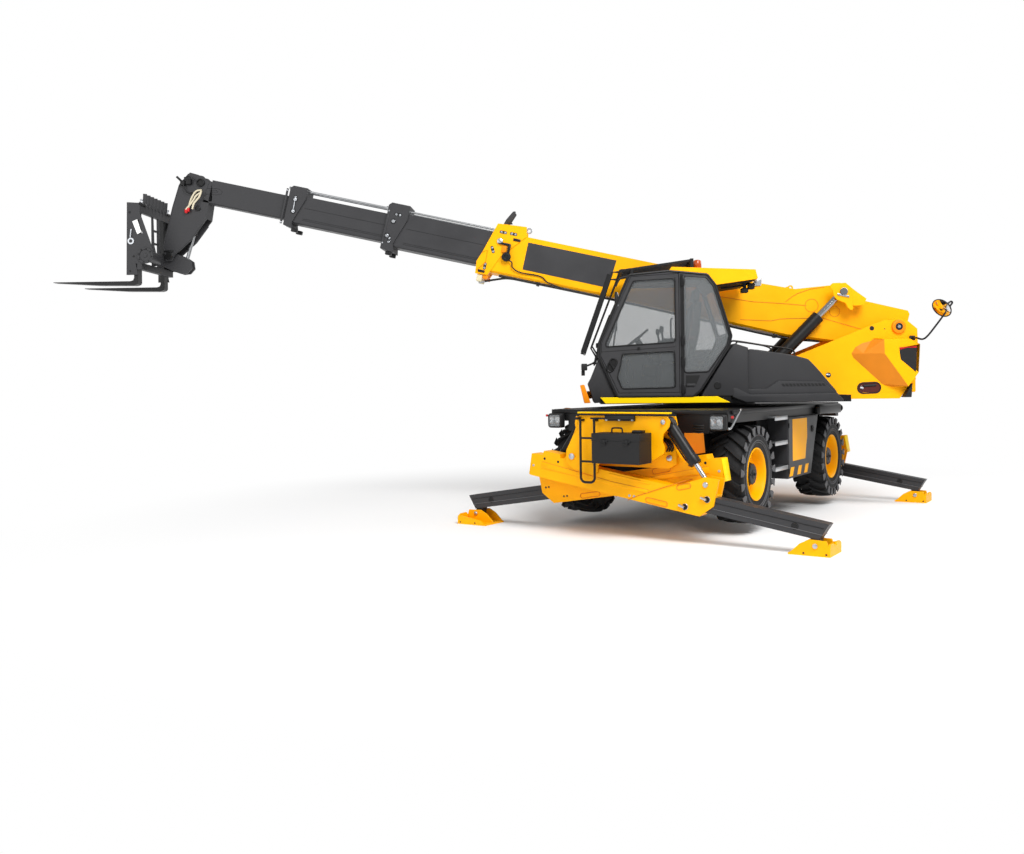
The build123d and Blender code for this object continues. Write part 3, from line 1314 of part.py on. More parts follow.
# ---------------------------------------------------------------- carriage
FORK_BACK = 7755.0
BAR_TOP = 4262.0
RACK_BACK = FORK_BACK - 44.0
HOOK_BACK = FORK_BACK - 65.0
HUB_X = FORK_BACK - 117.0
HUB_Z = 3569.0
CARRIAGE_SIDE = [
    (FORK_BACK + 133, 4299),
    (FORK_BACK - 29, 4288),
    (RACK_BACK, 4140),
    (HUB_X - 104, 3638),
    (HUB_X - 94, 3513),
    (HUB_X + 9, 3460),
    (FORK_BACK + 20, 3463),
    (FORK_BACK - 10, 3309),
    (FORK_BACK + 148, 3309),
]
CARRIAGE_WINDOW = [
    (FORK_BACK + 53, 4040),
    (FORK_BACK - 27, 4062),
    (FORK_BACK - 80, 3874),
    (FORK_BACK - 17, 3856),
]
CARRIAGE_PLATE = 22.0
with BuildPart() as carriage:
    for near in (CARRIAGE_HALF_WIDTH, -CARRIAGE_HALF_WIDTH + CARRIAGE_PLATE):
        with BuildSketch(turret_side(BOOM_CENTRE + near)):
            with BuildLine():
                Polyline(CARRIAGE_SIDE, close=True)
            make_face()
            with BuildLine():
                Polyline(CARRIAGE_WINDOW, close=True)
            make_face(mode=Mode.SUBTRACT)
        extrude(amount=CARRIAGE_PLATE)
    with BuildSketch(turret_side(BOOM_CENTRE + CARRIAGE_HALF_WIDTH)):
        with Locations((HUB_X, HUB_Z)):
            Circle(78)
    extrude(amount=2 * CARRIAGE_HALF_WIDTH)
    with BuildSketch(turret_side(BOOM_CENTRE + CARRIAGE_HALF_WIDTH)):
        with BuildLine():
            Polyline(
                (RACK_BACK, 4160), (RACK_BACK, BAR_TOP), (FORK_BACK, BAR_TOP), (FORK_BACK, 4160),
                close=True,
            )
        make_face()
        with BuildLine():
            Polyline(
                (HOOK_BACK, 3380), (HOOK_BACK, 3470), (FORK_BACK, 3470), (FORK_BACK, 3380), close=True
            )
        make_face()
    extrude(amount=2 * CARRIAGE_HALF_WIDTH)
    for number in range(7):
        with BuildSketch(turret_side(BOOM_CENTRE + 330 - number * 110)):
            with BuildLine():
                Polyline(
                    (RACK_BACK, 4200), (HOOK_BACK, 4440), (FORK_BACK - 15, 4445), (FORK_BACK - 5, 4200),
                    close=True,
                )
            make_face()
        extrude(amount=16)
    for near in (64, -36):
        with BuildSketch(turret_side(BOOM_CENTRE + near)):
            with BuildLine():
                Polyline(
                    (HUB_X - 18, 3640), (7480, 3690), (7400, 3650), (7276, 3600), (7190, 3540),
                    (7175, 3440), (7240, 3370), (7330, 3362), (7440, 3400), (HUB_X + 2, 3495),
                    close=True,
                )
            make_face()
            with Locations((TILT_X, TILT_Z)):
                Circle(TILT_PIN_RADIUS + PIN_FIT, mode=Mode.SUBTRACT)
        extrude(amount=28)
carriage.part.label = "carriage"
export_step(carriage.part, "parts/carriage.step")

with BuildPart() as forks:
    for place in (FORK_PLACE, -FORK_PLACE):
        with BuildSketch(turret_side(BOOM_CENTRE + place + FORK_WIDTH / 2)):
            with BuildLine():
                Polyline(
                    (FORK_BACK + SEAT_GAP, BAR_TOP + SEAT_GAP), (HOOK_BACK, BAR_TOP + SEAT_GAP),
                    (HOOK_BACK, BAR_TOP + 25), (FORK_BACK + 57, BAR_TOP + 25),
                    (FORK_BACK + 57, FORK_TOP), (FORK_BACK + FORK_REACH, FORK_TOP),
                    (FORK_BACK + FORK_REACH, FORK_TOP - 8), (FORK_BACK + 545, FORK_TOP - 50),
                    (FORK_BACK + 35, FORK_TOP - 58), (FORK_BACK + SEAT_GAP, FORK_TOP - 30),
                    close=True,
                )
            make_face()
        extrude(amount=FORK_WIDTH)
forks.part.label = "forks"
export_step(forks.part, "parts/forks.step")

TILT_TUBE_RADIUS = 44.0
TILT_TUBE_LENGTH = 376.0
TILT_ROD_RADIUS = 24.0
TILT_ROD_LENGTH = 495.0
TILT_PISTON = 20.0
tilt_run = hypot(TILT_RAM_HEAD[0] - TILT_RAM_EYE[0], TILT_RAM_HEAD[1] - TILT_RAM_EYE[1])
tilt_head = turret_point(TILT_RAM_HEAD[0], BOOM_CENTRE, TILT_RAM_HEAD[1])
tilt_eye = turret_point(TILT_RAM_EYE[0], BOOM_CENTRE, TILT_RAM_EYE[1])
tilt_plane = Plane(origin=tilt_head, x_dir=tilt_eye - tilt_head, z_dir=LEFT)
tilt_axis = Axis(tilt_head, tilt_eye - tilt_head)
with BuildPart() as tilt_tube:
    with BuildSketch(tilt_plane):
        Polygon(
            (50, 0),
            (50, TILT_TUBE_RADIUS),
            (TILT_TUBE_LENGTH, TILT_TUBE_RADIUS),
            (TILT_TUBE_LENGTH, TILT_ROD_RADIUS + PIN_FIT),
            (TILT_TUBE_LENGTH - 30, TILT_ROD_RADIUS + PIN_FIT),
            (TILT_TUBE_LENGTH - 30, TILT_TUBE_RADIUS - 9),
            (62, TILT_TUBE_RADIUS - 9),
            (62, 0),
            align=None,
        )
    revolve(axis=tilt_axis)
    with BuildSketch(tilt_plane):
        Circle(TILT_TUBE_RADIUS)
        with Locations((30, 0)):
            Rectangle(60, 2 * TILT_TUBE_RADIUS - 4)
        Circle(TILT_HEAD_PIN + PIN_FIT, mode=Mode.SUBTRACT)
    extrude(amount=45, both=True)
tilt_tube.part.label = "tilt_ram_tube"
export_step(tilt_tube.part, "parts/tilt_ram_tube.step")

with BuildPart() as tilt_rod:
    with BuildSketch(tilt_plane):
        Polygon(
            (tilt_run - TILT_ROD_LENGTH, 0),
            (tilt_run - TILT_ROD_LENGTH, TILT_TUBE_RADIUS - 9 - PIN_FIT),
            (tilt_run - TILT_ROD_LENGTH + TILT_PISTON, TILT_TUBE_RADIUS - 9 - PIN_FIT),
            (tilt_run - TILT_ROD_LENGTH + TILT_PISTON, TILT_ROD_RADIUS),
            (tilt_run - 15, TILT_ROD_RADIUS),
            (tilt_run - 15, 0),
            align=None,
        )
    revolve(axis=tilt_axis)
    with BuildSketch(tilt_plane):
        with Locations((tilt_run, 0)):
            Circle(45)
    extrude(amount=28, both=True)
tilt_rod.part.label = "tilt_ram_rod"
export_step(tilt_rod.part, "parts/tilt_ram_rod.step")
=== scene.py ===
"""Looks of a rotating telescopic handler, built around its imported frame.

Lengths are in metres. Three working frames are used besides the chassis' own:
the turret's (forward along the boom, left, up), the boom's (along it from its
pivot, left, above) and one for each stabiliser beam.
"""
from __future__ import annotations

import json
import logging
import math
from dataclasses import dataclass, field, replace
from enum import Enum
from math import cos, pi, radians, sin
from typing import Iterable, Sequence

import bmesh
import bpy
from mathutils import Matrix, Vector

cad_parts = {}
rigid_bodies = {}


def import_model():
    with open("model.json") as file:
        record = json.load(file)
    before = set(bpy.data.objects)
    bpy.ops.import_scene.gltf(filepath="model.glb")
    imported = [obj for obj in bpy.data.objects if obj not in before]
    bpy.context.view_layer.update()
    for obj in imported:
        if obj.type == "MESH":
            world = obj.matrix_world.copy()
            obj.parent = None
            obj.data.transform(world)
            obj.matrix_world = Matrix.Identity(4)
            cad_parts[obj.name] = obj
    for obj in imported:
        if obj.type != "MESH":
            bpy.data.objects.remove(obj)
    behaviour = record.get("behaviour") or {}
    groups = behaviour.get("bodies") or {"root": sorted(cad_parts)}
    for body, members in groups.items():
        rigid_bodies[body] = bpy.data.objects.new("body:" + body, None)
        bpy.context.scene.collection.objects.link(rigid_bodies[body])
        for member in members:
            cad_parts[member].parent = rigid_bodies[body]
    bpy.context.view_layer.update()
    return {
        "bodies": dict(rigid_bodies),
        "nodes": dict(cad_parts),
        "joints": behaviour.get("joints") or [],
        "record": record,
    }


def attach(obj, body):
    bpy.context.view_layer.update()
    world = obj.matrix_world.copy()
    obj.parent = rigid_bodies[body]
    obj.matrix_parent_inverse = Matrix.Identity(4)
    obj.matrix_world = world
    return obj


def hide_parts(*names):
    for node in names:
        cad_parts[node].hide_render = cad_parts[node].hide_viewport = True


LOG = logging.getLogger("telehandler")
Point = tuple[float, float, float]
Flat = tuple[float, float]

SLEW = radians(-59.4)  # the superstructure's turn at rest
LIFT = radians(12.6)  # the boom's rise at rest
FALL = radians(9.3)  # slope of the stabiliser beams
BOOM_SIDE = -0.1  # the boom's middle, left of the superstructure's
PIVOT = (-2.455, 2.467)  # the boom's pivot, along the superstructure and up
HALF_WHEELBASE = 1.525
WHEEL_Z = 0.685  # height of the wheels' centres
TYRE_Y = 1.03  # half the track
BEAM_PIN = (0.567, 0.917)  # a stabiliser beam's pin: across the machine, and height
RAM_PIN = (0.602, 1.329)  # the upper pin of its ram
RAM_EYE = (1.659, 0.012)  # the ram's eye, along and above the beam
MIDDLE_FACE = 2.4665  # outer face of the plate between two crossing beams
MERGE = 1e-6  # corners closer than this become one
MANY_CORNERS = 10  # outlines with this many keep their sides sharp when the ends are rounded
PAINT_BREAK = 1.59  # height where the tower's black foot turns to yellow
STATIONS = {  # place along the machine, side, and how much further out the slider stands
    "front_left": (2.56, 1, 0.03),
    "front_right": (2.32, -1, -0.055),
    "rear_left": (-2.32, 1, 0.0),
    "rear_right": (-2.56, -1, 0.0),
}
# slots of the outer section's collar: along, above, turn in degrees
MOUTH_SLOTS = ((5.262, 0.205, 0), (5.405, 0.2, 0), (5.56, -0.3, 90), (5.5, -0.06, 62))
BOOM_WELDS = (  # weld seams of the outer section, as places along and above
    ((2.4, -0.062), (1.888, -0.036), (1.533, 0.016), (1.178, 0.059)),
    ((1.465, 0.052), (1.4, 0.13), (1.328, 0.197), (1.167, 0.292), (1.0, 0.35)),
    ((2.013, -0.308), (1.6, -0.24), (1.49, -0.19), (1.2, -0.12), (0.925, -0.063), (0.632, -0.087), (0.356, -0.106)),
)
CORNERS = {
    "front_left": (HALF_WHEELBASE, 1),
    "front_right": (HALF_WHEELBASE, -1),
    "rear_left": (-HALF_WHEELBASE, 1),
    "rear_right": (-HALF_WHEELBASE, -1),
}


# ------------------------------------------------------------------ frames
class Axis(Enum):
    """Direction a flat outline is pushed along, in a working frame."""

    X = 0
    Y = 1
    Z = 2


@dataclass(frozen=True)
class Frame:
    """A working frame: an origin, three unit directions and the body its pieces ride on."""

    origin: Vector
    x: Vector
    y: Vector
    z: Vector
    body: str = ""

    def at(self, a: float, b: float, c: float) -> Vector:
        """Return the world place of the point (a, b, c) of this frame."""
        return self.origin + self.x * a + self.y * b + self.z * c

    def moved(self, a: float, b: float, c: float) -> "Frame":
        """Return this frame with its origin at (a, b, c)."""
        return Frame(self.at(a, b, c), self.x, self.y, self.z, self.body)

    def turned(self, angle: float, about: Axis = Axis.Y) -> "Frame":
        """Return this frame turned by an angle in radians about one of its axes."""
        spin = Matrix.Rotation(angle, 3, (self.x, self.y, self.z)[about.value])
        return Frame(self.origin, spin @ self.x, spin @ self.y, spin @ self.z, self.body)


WORLD_UP = Vector((0, 0, 1))
CHASSIS = Frame(Vector((0, 0, 0)), Vector((1, 0, 0)), Vector((0, 1, 0)), WORLD_UP, "chassis")
TURRET = Frame(
    Vector((0, 0, 0)), Vector((cos(SLEW), sin(SLEW), 0)), Vector((-sin(SLEW), cos(SLEW), 0)), WORLD_UP, "turret"
)
BOOM = replace(TURRET.moved(PIVOT[0], BOOM_SIDE, PIVOT[1]).turned(-LIFT), body="boom_outer")


def beam_frame(corner: str) -> Frame:
    """Return a stabiliser beam's frame: x along it, y to the outside end, z above.

    Args:
        corner: the corner where the beam's foot stands.
    Returns:
        The frame, with its origin at the beam's pin.
    """
    station, side, _ = STATIONS[corner]
    along = Vector((0, side * cos(FALL), -sin(FALL)))
    above = Vector((0, side * sin(FALL), cos(FALL)))
    out = 1 if abs(station) > 2.5 else -1
    outside = Vector((math.copysign(out, station * out), 0, 0))
    return Frame(Vector((station, -side * BEAM_PIN[0], BEAM_PIN[1])), along, outside, above)


# ------------------------------------------------------------------ finishes
def linear(hex_colour: str) -> tuple[float, float, float, float]:
    """Turn an sRGB hex colour into the renderer's linear values.

    Args:
        hex_colour: six hex digits, with or without the leading mark.
    Returns:
        Linear red, green, blue and an alpha of one.
    """
    digits = hex_colour.lstrip("#")
    srgb = [int(digits[i : i + 2], 16) / 255 for i in (0, 2, 4)]
    lin = [c / 12.92 if c <= 0.04045 else ((c + 0.055) / 1.055) ** 2.4 for c in srgb]
    return (lin[0], lin[1], lin[2], 1.0)


@dataclass(frozen=True)
class Finish:
    """A real finish: its colour, sheen and the size of its texture.

    The grain is the surface's fine relief and the stain the slow drift of its tone. Sizes
    are in millimetres, and soften_mm is how wide an edge is seen rounded.
    """

    name: str
    colour: str
    metal: float = 0.0
    rough: float = 0.4
    grain_mm: float = 0.0
    relief: float = 0.0
    stain: float = 0.0
    stain_mm: float = 260.0
    sheen: float = 0.35
    alpha: float = 1.0
    glow: float = 0.0
    soften_mm: float = 3.0


# Sprayed enamel on steel: an even, half-glossy coat. Its orange peel of about 1 mm is drawn at 2 mm,
# and its tone drifts a little over a hand's width, so that both show.
YELLOW = Finish("yellow_enamel", "#FFB100", rough=0.4, sheen=0.14, grain_mm=2.2, relief=0.02, stain=0.04)
# Yellow paint drawn darker and more orange as painted shade: a mid shade here, and a deep one below for facets, ribs,
# seams and plates that fall in shade.
MID_SHADE = Finish("painted_mid_shade_enamel", "#F08A0C", rough=0.42, sheen=0.15, stain=0.05)
SHADE = Finish("painted_deep_shade_enamel", "#D98220", rough=0.45, sheen=0.12, stain=0.05)
GREY = Finish("anthracite_enamel", "#353537", rough=0.42, sheen=0.3, grain_mm=2.0, relief=0.03, stain=0.06)
BLACK = Finish("black_enamel", "#151516", rough=0.38, sheen=0.3, grain_mm=2.0, relief=0.03)
# A pale strip along a fold, a painted highlight: paler than the coat and without its peel.
FOLD_HIGHLIGHT = Finish("painted_fold_highlight", "#5C5C5E", rough=0.45, sheen=0.3)
# Dark red-brown, matt and blotched: painted shade inside holes and slots drawn as flat discs and plates, and the seat
# belt's own colour.
HOLE_SHADE_RED = Finish("hole_shade_and_belt_red", "#4A140C", rough=0.6, stain=0.12, stain_mm=50)
# Self-adhesive film and enamelled sheet: flat, clean colour with a soft gleam and no grain.
LIME = Finish("reflective_yellow_film", "#FFD400", rough=0.35, sheen=0.15)
SIGN = Finish("blank_white_plate", "#F2F2F0", rough=0.4)
# ABS from a grained mould: a pebbled, nearly matt skin, finer on small fittings than on the covers.
PLASTIC = Finish("black_moulded_plastic", "#1B1B1C", rough=0.55, sheen=0.3, grain_mm=1.1, relief=0.06)
COVER = Finish("grey_moulded_cover", "#2B2B2D", rough=0.5, sheen=0.3, grain_mm=1.4, relief=0.05, stain=0.05)
# Vulcanised rubber: matt and dusty in patches on the tread, plain on hoses; a paler grey on the sidewall rings and lug
# ends is a painted highlight.
RUBBER = Finish("tyre_rubber", "#202021", rough=0.66, sheen=0.25, grain_mm=2.5, relief=0.1, stain=0.1, stain_mm=60)
RUBBER_HIGHLIGHT = Finish("painted_rubber_highlight", "#59595B", rough=0.72, sheen=0.25)
HOSE = Finish("hose_rubber", "#121213", rough=0.5)
# Hard chrome ground to a mirror, dull zinc plate with its cloudy spangle, and brushed bare aluminium.
CHROME = Finish("hard_chrome", "#A9ABAD", metal=1.0, rough=0.12)
ZINC = Finish("zinc_plated_steel", "#B9BCC0", metal=1.0, rough=0.32, stain=0.08, stain_mm=30)
SILVER = Finish("bare_aluminium", "#C2C4C6", metal=1.0, rough=0.28)
# Moulded nylon, woven sleeve and vinyl caps: plain, soft-edged colour.
PALE = Finish("pale_hose_sleeve", "#D9CFB4", rough=0.6)
CREAM = Finish("cream_nylon_pad", "#D8CDAA", rough=0.5)
RED = Finish("red_cap", "#C8161C", rough=0.35)
# Moulded acrylic lenses: wet, hard highlights over a colour that stays deep.
RED_LENS = Finish("red_lens", "#B01818", rough=0.12, sheen=0.5)
AMBER = Finish("amber_lens", "#A8480F", rough=0.12, sheen=0.5, glow=0.05)
CLEAR = Finish("clear_lens", "#C4CACE", rough=0.05, sheen=0.8, alpha=0.18, soften_mm=0)
# Toughened glass, smoked through its thickness: sharp reflections, with the cab seen dimly behind.
WINDOW = Finish("smoked_safety_glass", "#7A7E80", rough=0.02, sheen=0.6, alpha=0.28, soften_mm=0)
# A pale see-through glaze laid over the rear quarter pane: a painted reflection that lightens it.
PANE_GLARE = Finish("painted_pane_reflection", "#8C9092", rough=0.05, sheen=0.6, alpha=0.2, soften_mm=0)
# Silvered glass: a clean, almost perfect reflection.
MIRROR = Finish("mirror_silvering", "#F0F2F4", metal=1.0, rough=0.02)
# Woven seat cloth, its 1.6 mm ribs lit softly and without a highlight.
FABRIC = Finish("seat_fabric", "#262628", rough=0.9, grain_mm=1.6, relief=0.25)


def add_node(tree: bpy.types.NodeTree, kind: str, settings: dict, links: dict) -> bpy.types.Node:
    """Add a shader node with its settings and incoming links.

    Args:
        tree: the material's node tree.
        kind: the node's type name.
        settings: values by property name or input socket name.
        links: source sockets by input socket name.
    Returns:
        The new node.
    """
    node = tree.nodes.new(kind)
    for key, value in settings.items():
        if key in node.inputs:
            node.inputs[key].default_value = value
        else:
            setattr(node, key, value)
    for key, source in links.items():
        tree.links.new(source, node.inputs[key])
    return node


class Palette:
    """Makes each finish's material once and hands it out."""

    def __init__(self) -> None:
        """Start with no material made."""
        self._made: dict[str, bpy.types.Material] = {}

    def get(self, finish: Finish) -> bpy.types.Material:
        """Return the material of a finish, made at first use."""
        if finish.name not in self._made:
            self._made[finish.name] = self._make(finish)
        return self._made[finish.name]

    def _make(self, finish: Finish) -> bpy.types.Material:
        """Build one material with its speckle, relief and softened edges.

        Args:
            finish: the finish to make.
        Returns:
            The new material.
        """
        material = bpy.data.materials.new(finish.name)
        material.use_nodes = True
        tree = material.node_tree
        shader = tree.nodes["Principled BSDF"]
        shader.inputs["Base Color"].default_value = linear(finish.colour)
        shader.inputs["Metallic"].default_value = finish.metal
        shader.inputs["Roughness"].default_value = finish.rough
        shader.inputs["Specular IOR Level"].default_value = finish.sheen
        shader.inputs["Alpha"].default_value = finish.alpha
        if finish.glow:
            shader.inputs["Emission Color"].default_value = linear(finish.colour)
            shader.inputs["Emission Strength"].default_value = finish.glow
        place = add_node(tree, "ShaderNodeTexCoord", {}, {})
        normal = None
        if finish.soften_mm:
            soft = add_node(tree, "ShaderNodeBevel", {"samples": 4, "Radius": finish.soften_mm / 1000}, {})
            normal = soft.outputs["Normal"]
        if finish.grain_mm:
            noise = add_node(
                tree, "ShaderNodeTexNoise",
                {"Scale": 1000 / finish.grain_mm, "Detail": 2.0}, {"Vector": place.outputs["Object"]},
            )
            links = {"Height": noise.outputs["Fac"]}
            if normal:
                links["Normal"] = normal
            bump = add_node(
                tree, "ShaderNodeBump",
                {"Strength": finish.relief * 4, "Distance": 0.0006}, links,
            )
            normal = bump.outputs["Normal"]
        if normal:
            tree.links.new(normal, shader.inputs["Normal"])
        if finish.stain:
            cloud = add_node(
                tree, "ShaderNodeTexNoise",
                {"Scale": 1000 / finish.stain_mm, "Detail": 3.0}, {"Vector": place.outputs["Object"]},
            )
            level = add_node(
                tree, "ShaderNodeMapRange",
                {"From Min": 0.3, "From Max": 0.7, "To Min": 1 - finish.stain, "To Max": 1 + finish.stain},
                {"Value": cloud.outputs["Fac"]},
            )
            tint = add_node(
                tree, "ShaderNodeVectorMath",
                {"operation": "SCALE"}, {"Scale": level.outputs["Result"]},
            )
            tint.inputs[0].default_value = linear(finish.colour)[:3]
            tree.links.new(tint.outputs["Vector"], shader.inputs["Base Color"])
            gloss = add_node(
                tree, "ShaderNodeMapRange",
                {"From Min": 0.3, "From Max": 0.7, "To Min": finish.rough * 0.9, "To Max": finish.rough * 1.15},
                {"Value": cloud.outputs["Fac"]},
            )
            tree.links.new(gloss.outputs["Result"], shader.inputs["Roughness"])
        return material


PALETTE = Palette()


# ------------------------------------------------------------------ shapes
def rounded(outline: Sequence[Flat], radius: float, steps: int = 4) -> list[Flat]:
    """Round each corner of a closed outline.

    Args:
        outline: corners in order.
        radius: the fillet's radius, shortened where an edge is short.
        steps: points on each fillet.
    Returns:
        The outline with its corners rounded.
    """
    out: list[Flat] = []
    count = len(outline)
    for i, (px, py) in enumerate(outline):
        ax, ay = outline[i - 1]
        bx, by = outline[(i + 1) % count]
        a, b = Vector((ax - px, ay - py)), Vector((bx - px, by - py))
        if a.length < 1e-9 or b.length < 1e-9:
            continue
        half = a.angle(b) / 2
        reach = min(radius / max(math.tan(half), 1e-6), a.length * 0.45, b.length * 0.45)
        start, end = a.normalized() * reach, b.normalized() * reach
        for s in range(steps + 1):
            t = s / steps
            q = start * (1 - t) ** 2 + end * t**2
            out.append((px + q.x, py + q.y))
    return out


def stadium(centre: Flat, length: float, height: float, tilt: float = 0.0, steps: int = 8) -> list[Flat]:
    """Draw a long round-ended outline.

    Args:
        centre: its middle.
        length: overall length.
        height: width across, which is also the round ends' diameter.
        tilt: turn in degrees.
        steps: facets of each round end.
    Returns:
        The outline's corners.
    """
    r = height / 2
    run = length / 2 - r
    pts = []
    for end, start in ((1, -90), (-1, 90)):
        for s in range(steps + 1):
            a = radians(start + 180 * s / steps)
            pts.append((end * run + r * cos(a), r * sin(a)))
    c, s = cos(radians(tilt)), sin(radians(tilt))
    return [(centre[0] + x * c - y * s, centre[1] + x * s + y * c) for x, y in pts]


def circle(centre: Flat, radius: float, sides: int = 24) -> list[Flat]:
    """Return a round outline."""
    return [
        (centre[0] + radius * cos(2 * pi * i / sides), centre[1] + radius * sin(2 * pi * i / sides))
        for i in range(sides)
    ]


def blanks(frame: Frame, count: int) -> list["Shape"]:
    """Start several shapes in one frame."""
    return [Shape(frame) for _ in range(count)]


def ring_of(centre: Point, radius: float, count: int, phase: float = 0.0) -> list[Point]:
    """Spread places evenly round a point, in a frame's x and z directions.

    Args:
        centre: the point.
        radius: how far the places stand from it.
        count: how many there are.
        phase: turn of the first place in radians.
    Returns:
        The places.
    """
    x, y, z = centre
    turns = (2 * pi * k / count + phase for k in range(count))
    return [(x + radius * cos(a), y, z + radius * sin(a)) for a in turns]


class Shape:
    """A mesh being made in a working frame, then shown as one piece."""

    def __init__(self, frame: Frame) -> None:
        """Start an empty mesh in a frame."""
        self.frame = frame
        self.mesh = bmesh.new()

    def _stand(self, axis: Axis, centre: Point = (0, 0, 0)) -> Matrix:
        """Find how a solid made along z stands along an axis of the frame.

        Args:
            axis: the axis it is to stand along.
            centre: where its origin goes.
        Returns:
            The matrix into the world.
        """
        dirs = [self.frame.x, self.frame.y, self.frame.z]
        run = dirs.pop(axis.value)
        place = Matrix((*dirs, run)).transposed().to_4x4()
        place.translation = self.frame.at(*centre)
        return place

    def _add(self, solid: bmesh.types.BMesh, place: Matrix) -> "Shape":
        """Stand a finished solid in the world and add it to this mesh.

        Args:
            solid: the solid, made along z at the origin, which is used up.
            place: where it stands.
        Returns:
            This shape.
        """
        bmesh.ops.transform(solid, matrix=place, verts=solid.verts)
        bmesh.ops.recalc_face_normals(solid, faces=solid.faces)
        data = bpy.data.meshes.new("solid")
        solid.to_mesh(data)
        solid.free()
        self.mesh.from_mesh(data)
        bpy.data.meshes.remove(data)
        return self

    def prism(
        self, outline: Sequence[Flat], start: float, end: float,
        bevel: float = 0.0, steps: int = 2, axis: Axis = Axis.Y,
    ) -> "Shape":
        """Push a flat outline from one depth to another.

        Args:
            outline: corners, in the two frame directions other than the axis.
            start: depth of one face.
            end: depth of the other face, on either side of the first.
            bevel: width of the rounding of the edges.
            steps: segments of that rounding.
            axis: direction of the push.
        Returns:
            This shape.
        """
        near, far = sorted((start, end))
        solid = bmesh.new()
        face = solid.faces.new([solid.verts.new((a, b, near)) for a, b in outline])
        made = bmesh.ops.extrude_face_region(solid, geom=[face])["geom"]
        top = [item for item in made if isinstance(item, bmesh.types.BMVert)]
        bmesh.ops.translate(solid, verts=top, vec=(0, 0, far - near))
        if bevel:
            few = len(outline) < MANY_CORNERS
            edges = {edge for face in solid.faces if few or len(face.verts) > 4 for edge in face.edges}
            bmesh.ops.bevel(
                solid, geom=list(edges), offset=bevel, segments=steps, affect="EDGES", profile=0.5,
                material=-1, clamp_overlap=True,
            )
        return self._add(solid, self._stand(axis))

    def box(self, low: Point, high: Point, bevel: float = 0.0, steps: int = 2) -> "Shape":
        """Add a box between two opposite corners.

        Args:
            low: one corner in the frame.
            high: the opposite corner.
            bevel: width of the rounding of the edges.
            steps: segments of that rounding.
        Returns:
            This shape.
        """
        (x0, x1), _, (z0, z1) = (sorted(pair) for pair in zip(low, high))
        outline = [(x0, z0), (x1, z0), (x1, z1), (x0, z1)]
        return self.prism(outline, low[1], high[1], bevel, steps)

    def tube(self, path: Iterable[Point], radius: float, sides: int = 8, closed: bool = False) -> "Shape":
        """Sweep a round section along a path given in the frame.

        Args:
            path: points in the frame.
            radius: the section's radius.
            sides: corners of the section.
            closed: joins the last point to the first.
        Returns:
            This shape.
        """
        return self._sweep([self.frame.at(*p) for p in path], radius, sides, closed)

    def _sweep(self, points: list[Vector], radius: float, sides: int, closed: bool) -> "Shape":
        """Sweep a round section along world points, without twist.

        Args:
            points: the path, in the world.
            radius: the section's radius.
            sides: corners of the section.
            closed: joins the last point to the first.
        Returns:
            This shape.
        """
        count = len(points)
        rings, faces = [], []
        side = None
        for i, p in enumerate(points):
            back = points[i - 1] if (i or closed) else p
            ahead = points[(i + 1) % count] if (i < count - 1 or closed) else p
            run = (ahead - back).normalized()
            if side is None:
                side = run.orthogonal().normalized()
            side = (side - run * side.dot(run)).normalized()
            other = run.cross(side)
            rings.append([
                self.mesh.verts.new(p + (side * cos(2 * pi * k / sides) + other * sin(2 * pi * k / sides)) * radius)
                for k in range(sides)
            ])
        for i in range(count if closed else count - 1):
            a, b = rings[i], rings[(i + 1) % count]
            for k in range(sides):
                m = (k + 1) % sides
                faces.append(self.mesh.faces.new((a[k], a[m], b[m], b[k])))
        if not closed:
            faces.append(self.mesh.faces.new(rings[0]))
            faces.append(self.mesh.faces.new(rings[-1]))
        bmesh.ops.recalc_face_normals(self.mesh, faces=faces)
        return self

    def hose(self, path: Sequence[Point], radius: float, sides: int = 8, turns: int = 6) -> "Shape":
        """Sweep a hose through points with smooth bends between them.

        Args:
            path: points that the hose passes, in the frame.
            radius: the hose's radius.
            sides: corners of its section.
            turns: steps between two points.
        Returns:
            This shape.
        """
        pts = [self.frame.at(*p) for p in path]
        ends = [pts[0] * 2 - pts[1]] + pts + [pts[-1] * 2 - pts[-2]]
        smooth: list[Vector] = []
        for i in range(1, len(ends) - 2):
            a, b, c, d = ends[i - 1 : i + 3]
            for s in range(turns):
                t = s / turns
                smooth.append(
                    0.5 * (2 * b + (c - a) * t + (2 * a - 5 * b + 4 * c - d) * t**2
                           + (3 * b - a - 3 * c + d) * t**3)
                )
        smooth.append(pts[-1])
        return self._sweep(smooth, radius, sides, False)

    def lathe(
        self, centre: Point, axis: Axis, profile: Sequence[Flat], sides: int = 32, closed: bool = True
    ) -> "Shape":
        """Turn a profile about a line through a point, along a frame direction.

        Args:
            centre: point on the line, in the frame.
            axis: direction of the line.
            profile: (distance along, radius) pairs.
            sides: facets round the line.
            closed: caps or joins both ends on the axis.
        Returns:
            This shape.
        """
        solid = bmesh.new()
        line = [solid.verts.new((r, 0, along)) for along, r in profile]
        edges = [solid.edges.new(pair) for pair in zip(line, line[1:])]
        bmesh.ops.spin(
            solid, geom=line + edges, cent=(0, 0, 0), axis=(0, 0, 1), angle=2 * pi, steps=sides, use_merge=True
        )
        bmesh.ops.remove_doubles(solid, verts=solid.verts, dist=MERGE)
        if closed:
            bmesh.ops.holes_fill(solid, edges=[edge for edge in solid.edges if edge.is_boundary], sides=0)
        return self._add(solid, self._stand(axis, centre))

    def facets(self, points: dict[str, Point], faces: Sequence[str]) -> "Shape":
        """Add flat faces between named points.

        Args:
            points: places in the frame by their one-letter names.
            faces: each face as a word of those letters.
        Returns:
            This shape.
        """
        spots = {k: self.mesh.verts.new(self.frame.at(*p)) for k, p in points.items()}
        made = [self.mesh.faces.new([spots[k] for k in word]) for word in faces]
        bmesh.ops.recalc_face_normals(self.mesh, faces=made)
        return self

    def disc(self, centre: Point, axis: Axis, radius: float, rise: float, sides: int = 20) -> "Shape":
        """Add a plain disc that rises from a face along the axis, by a signed height."""
        return self.lathe(centre, axis, [(0, radius), (rise, radius), (rise, 0)], sides)

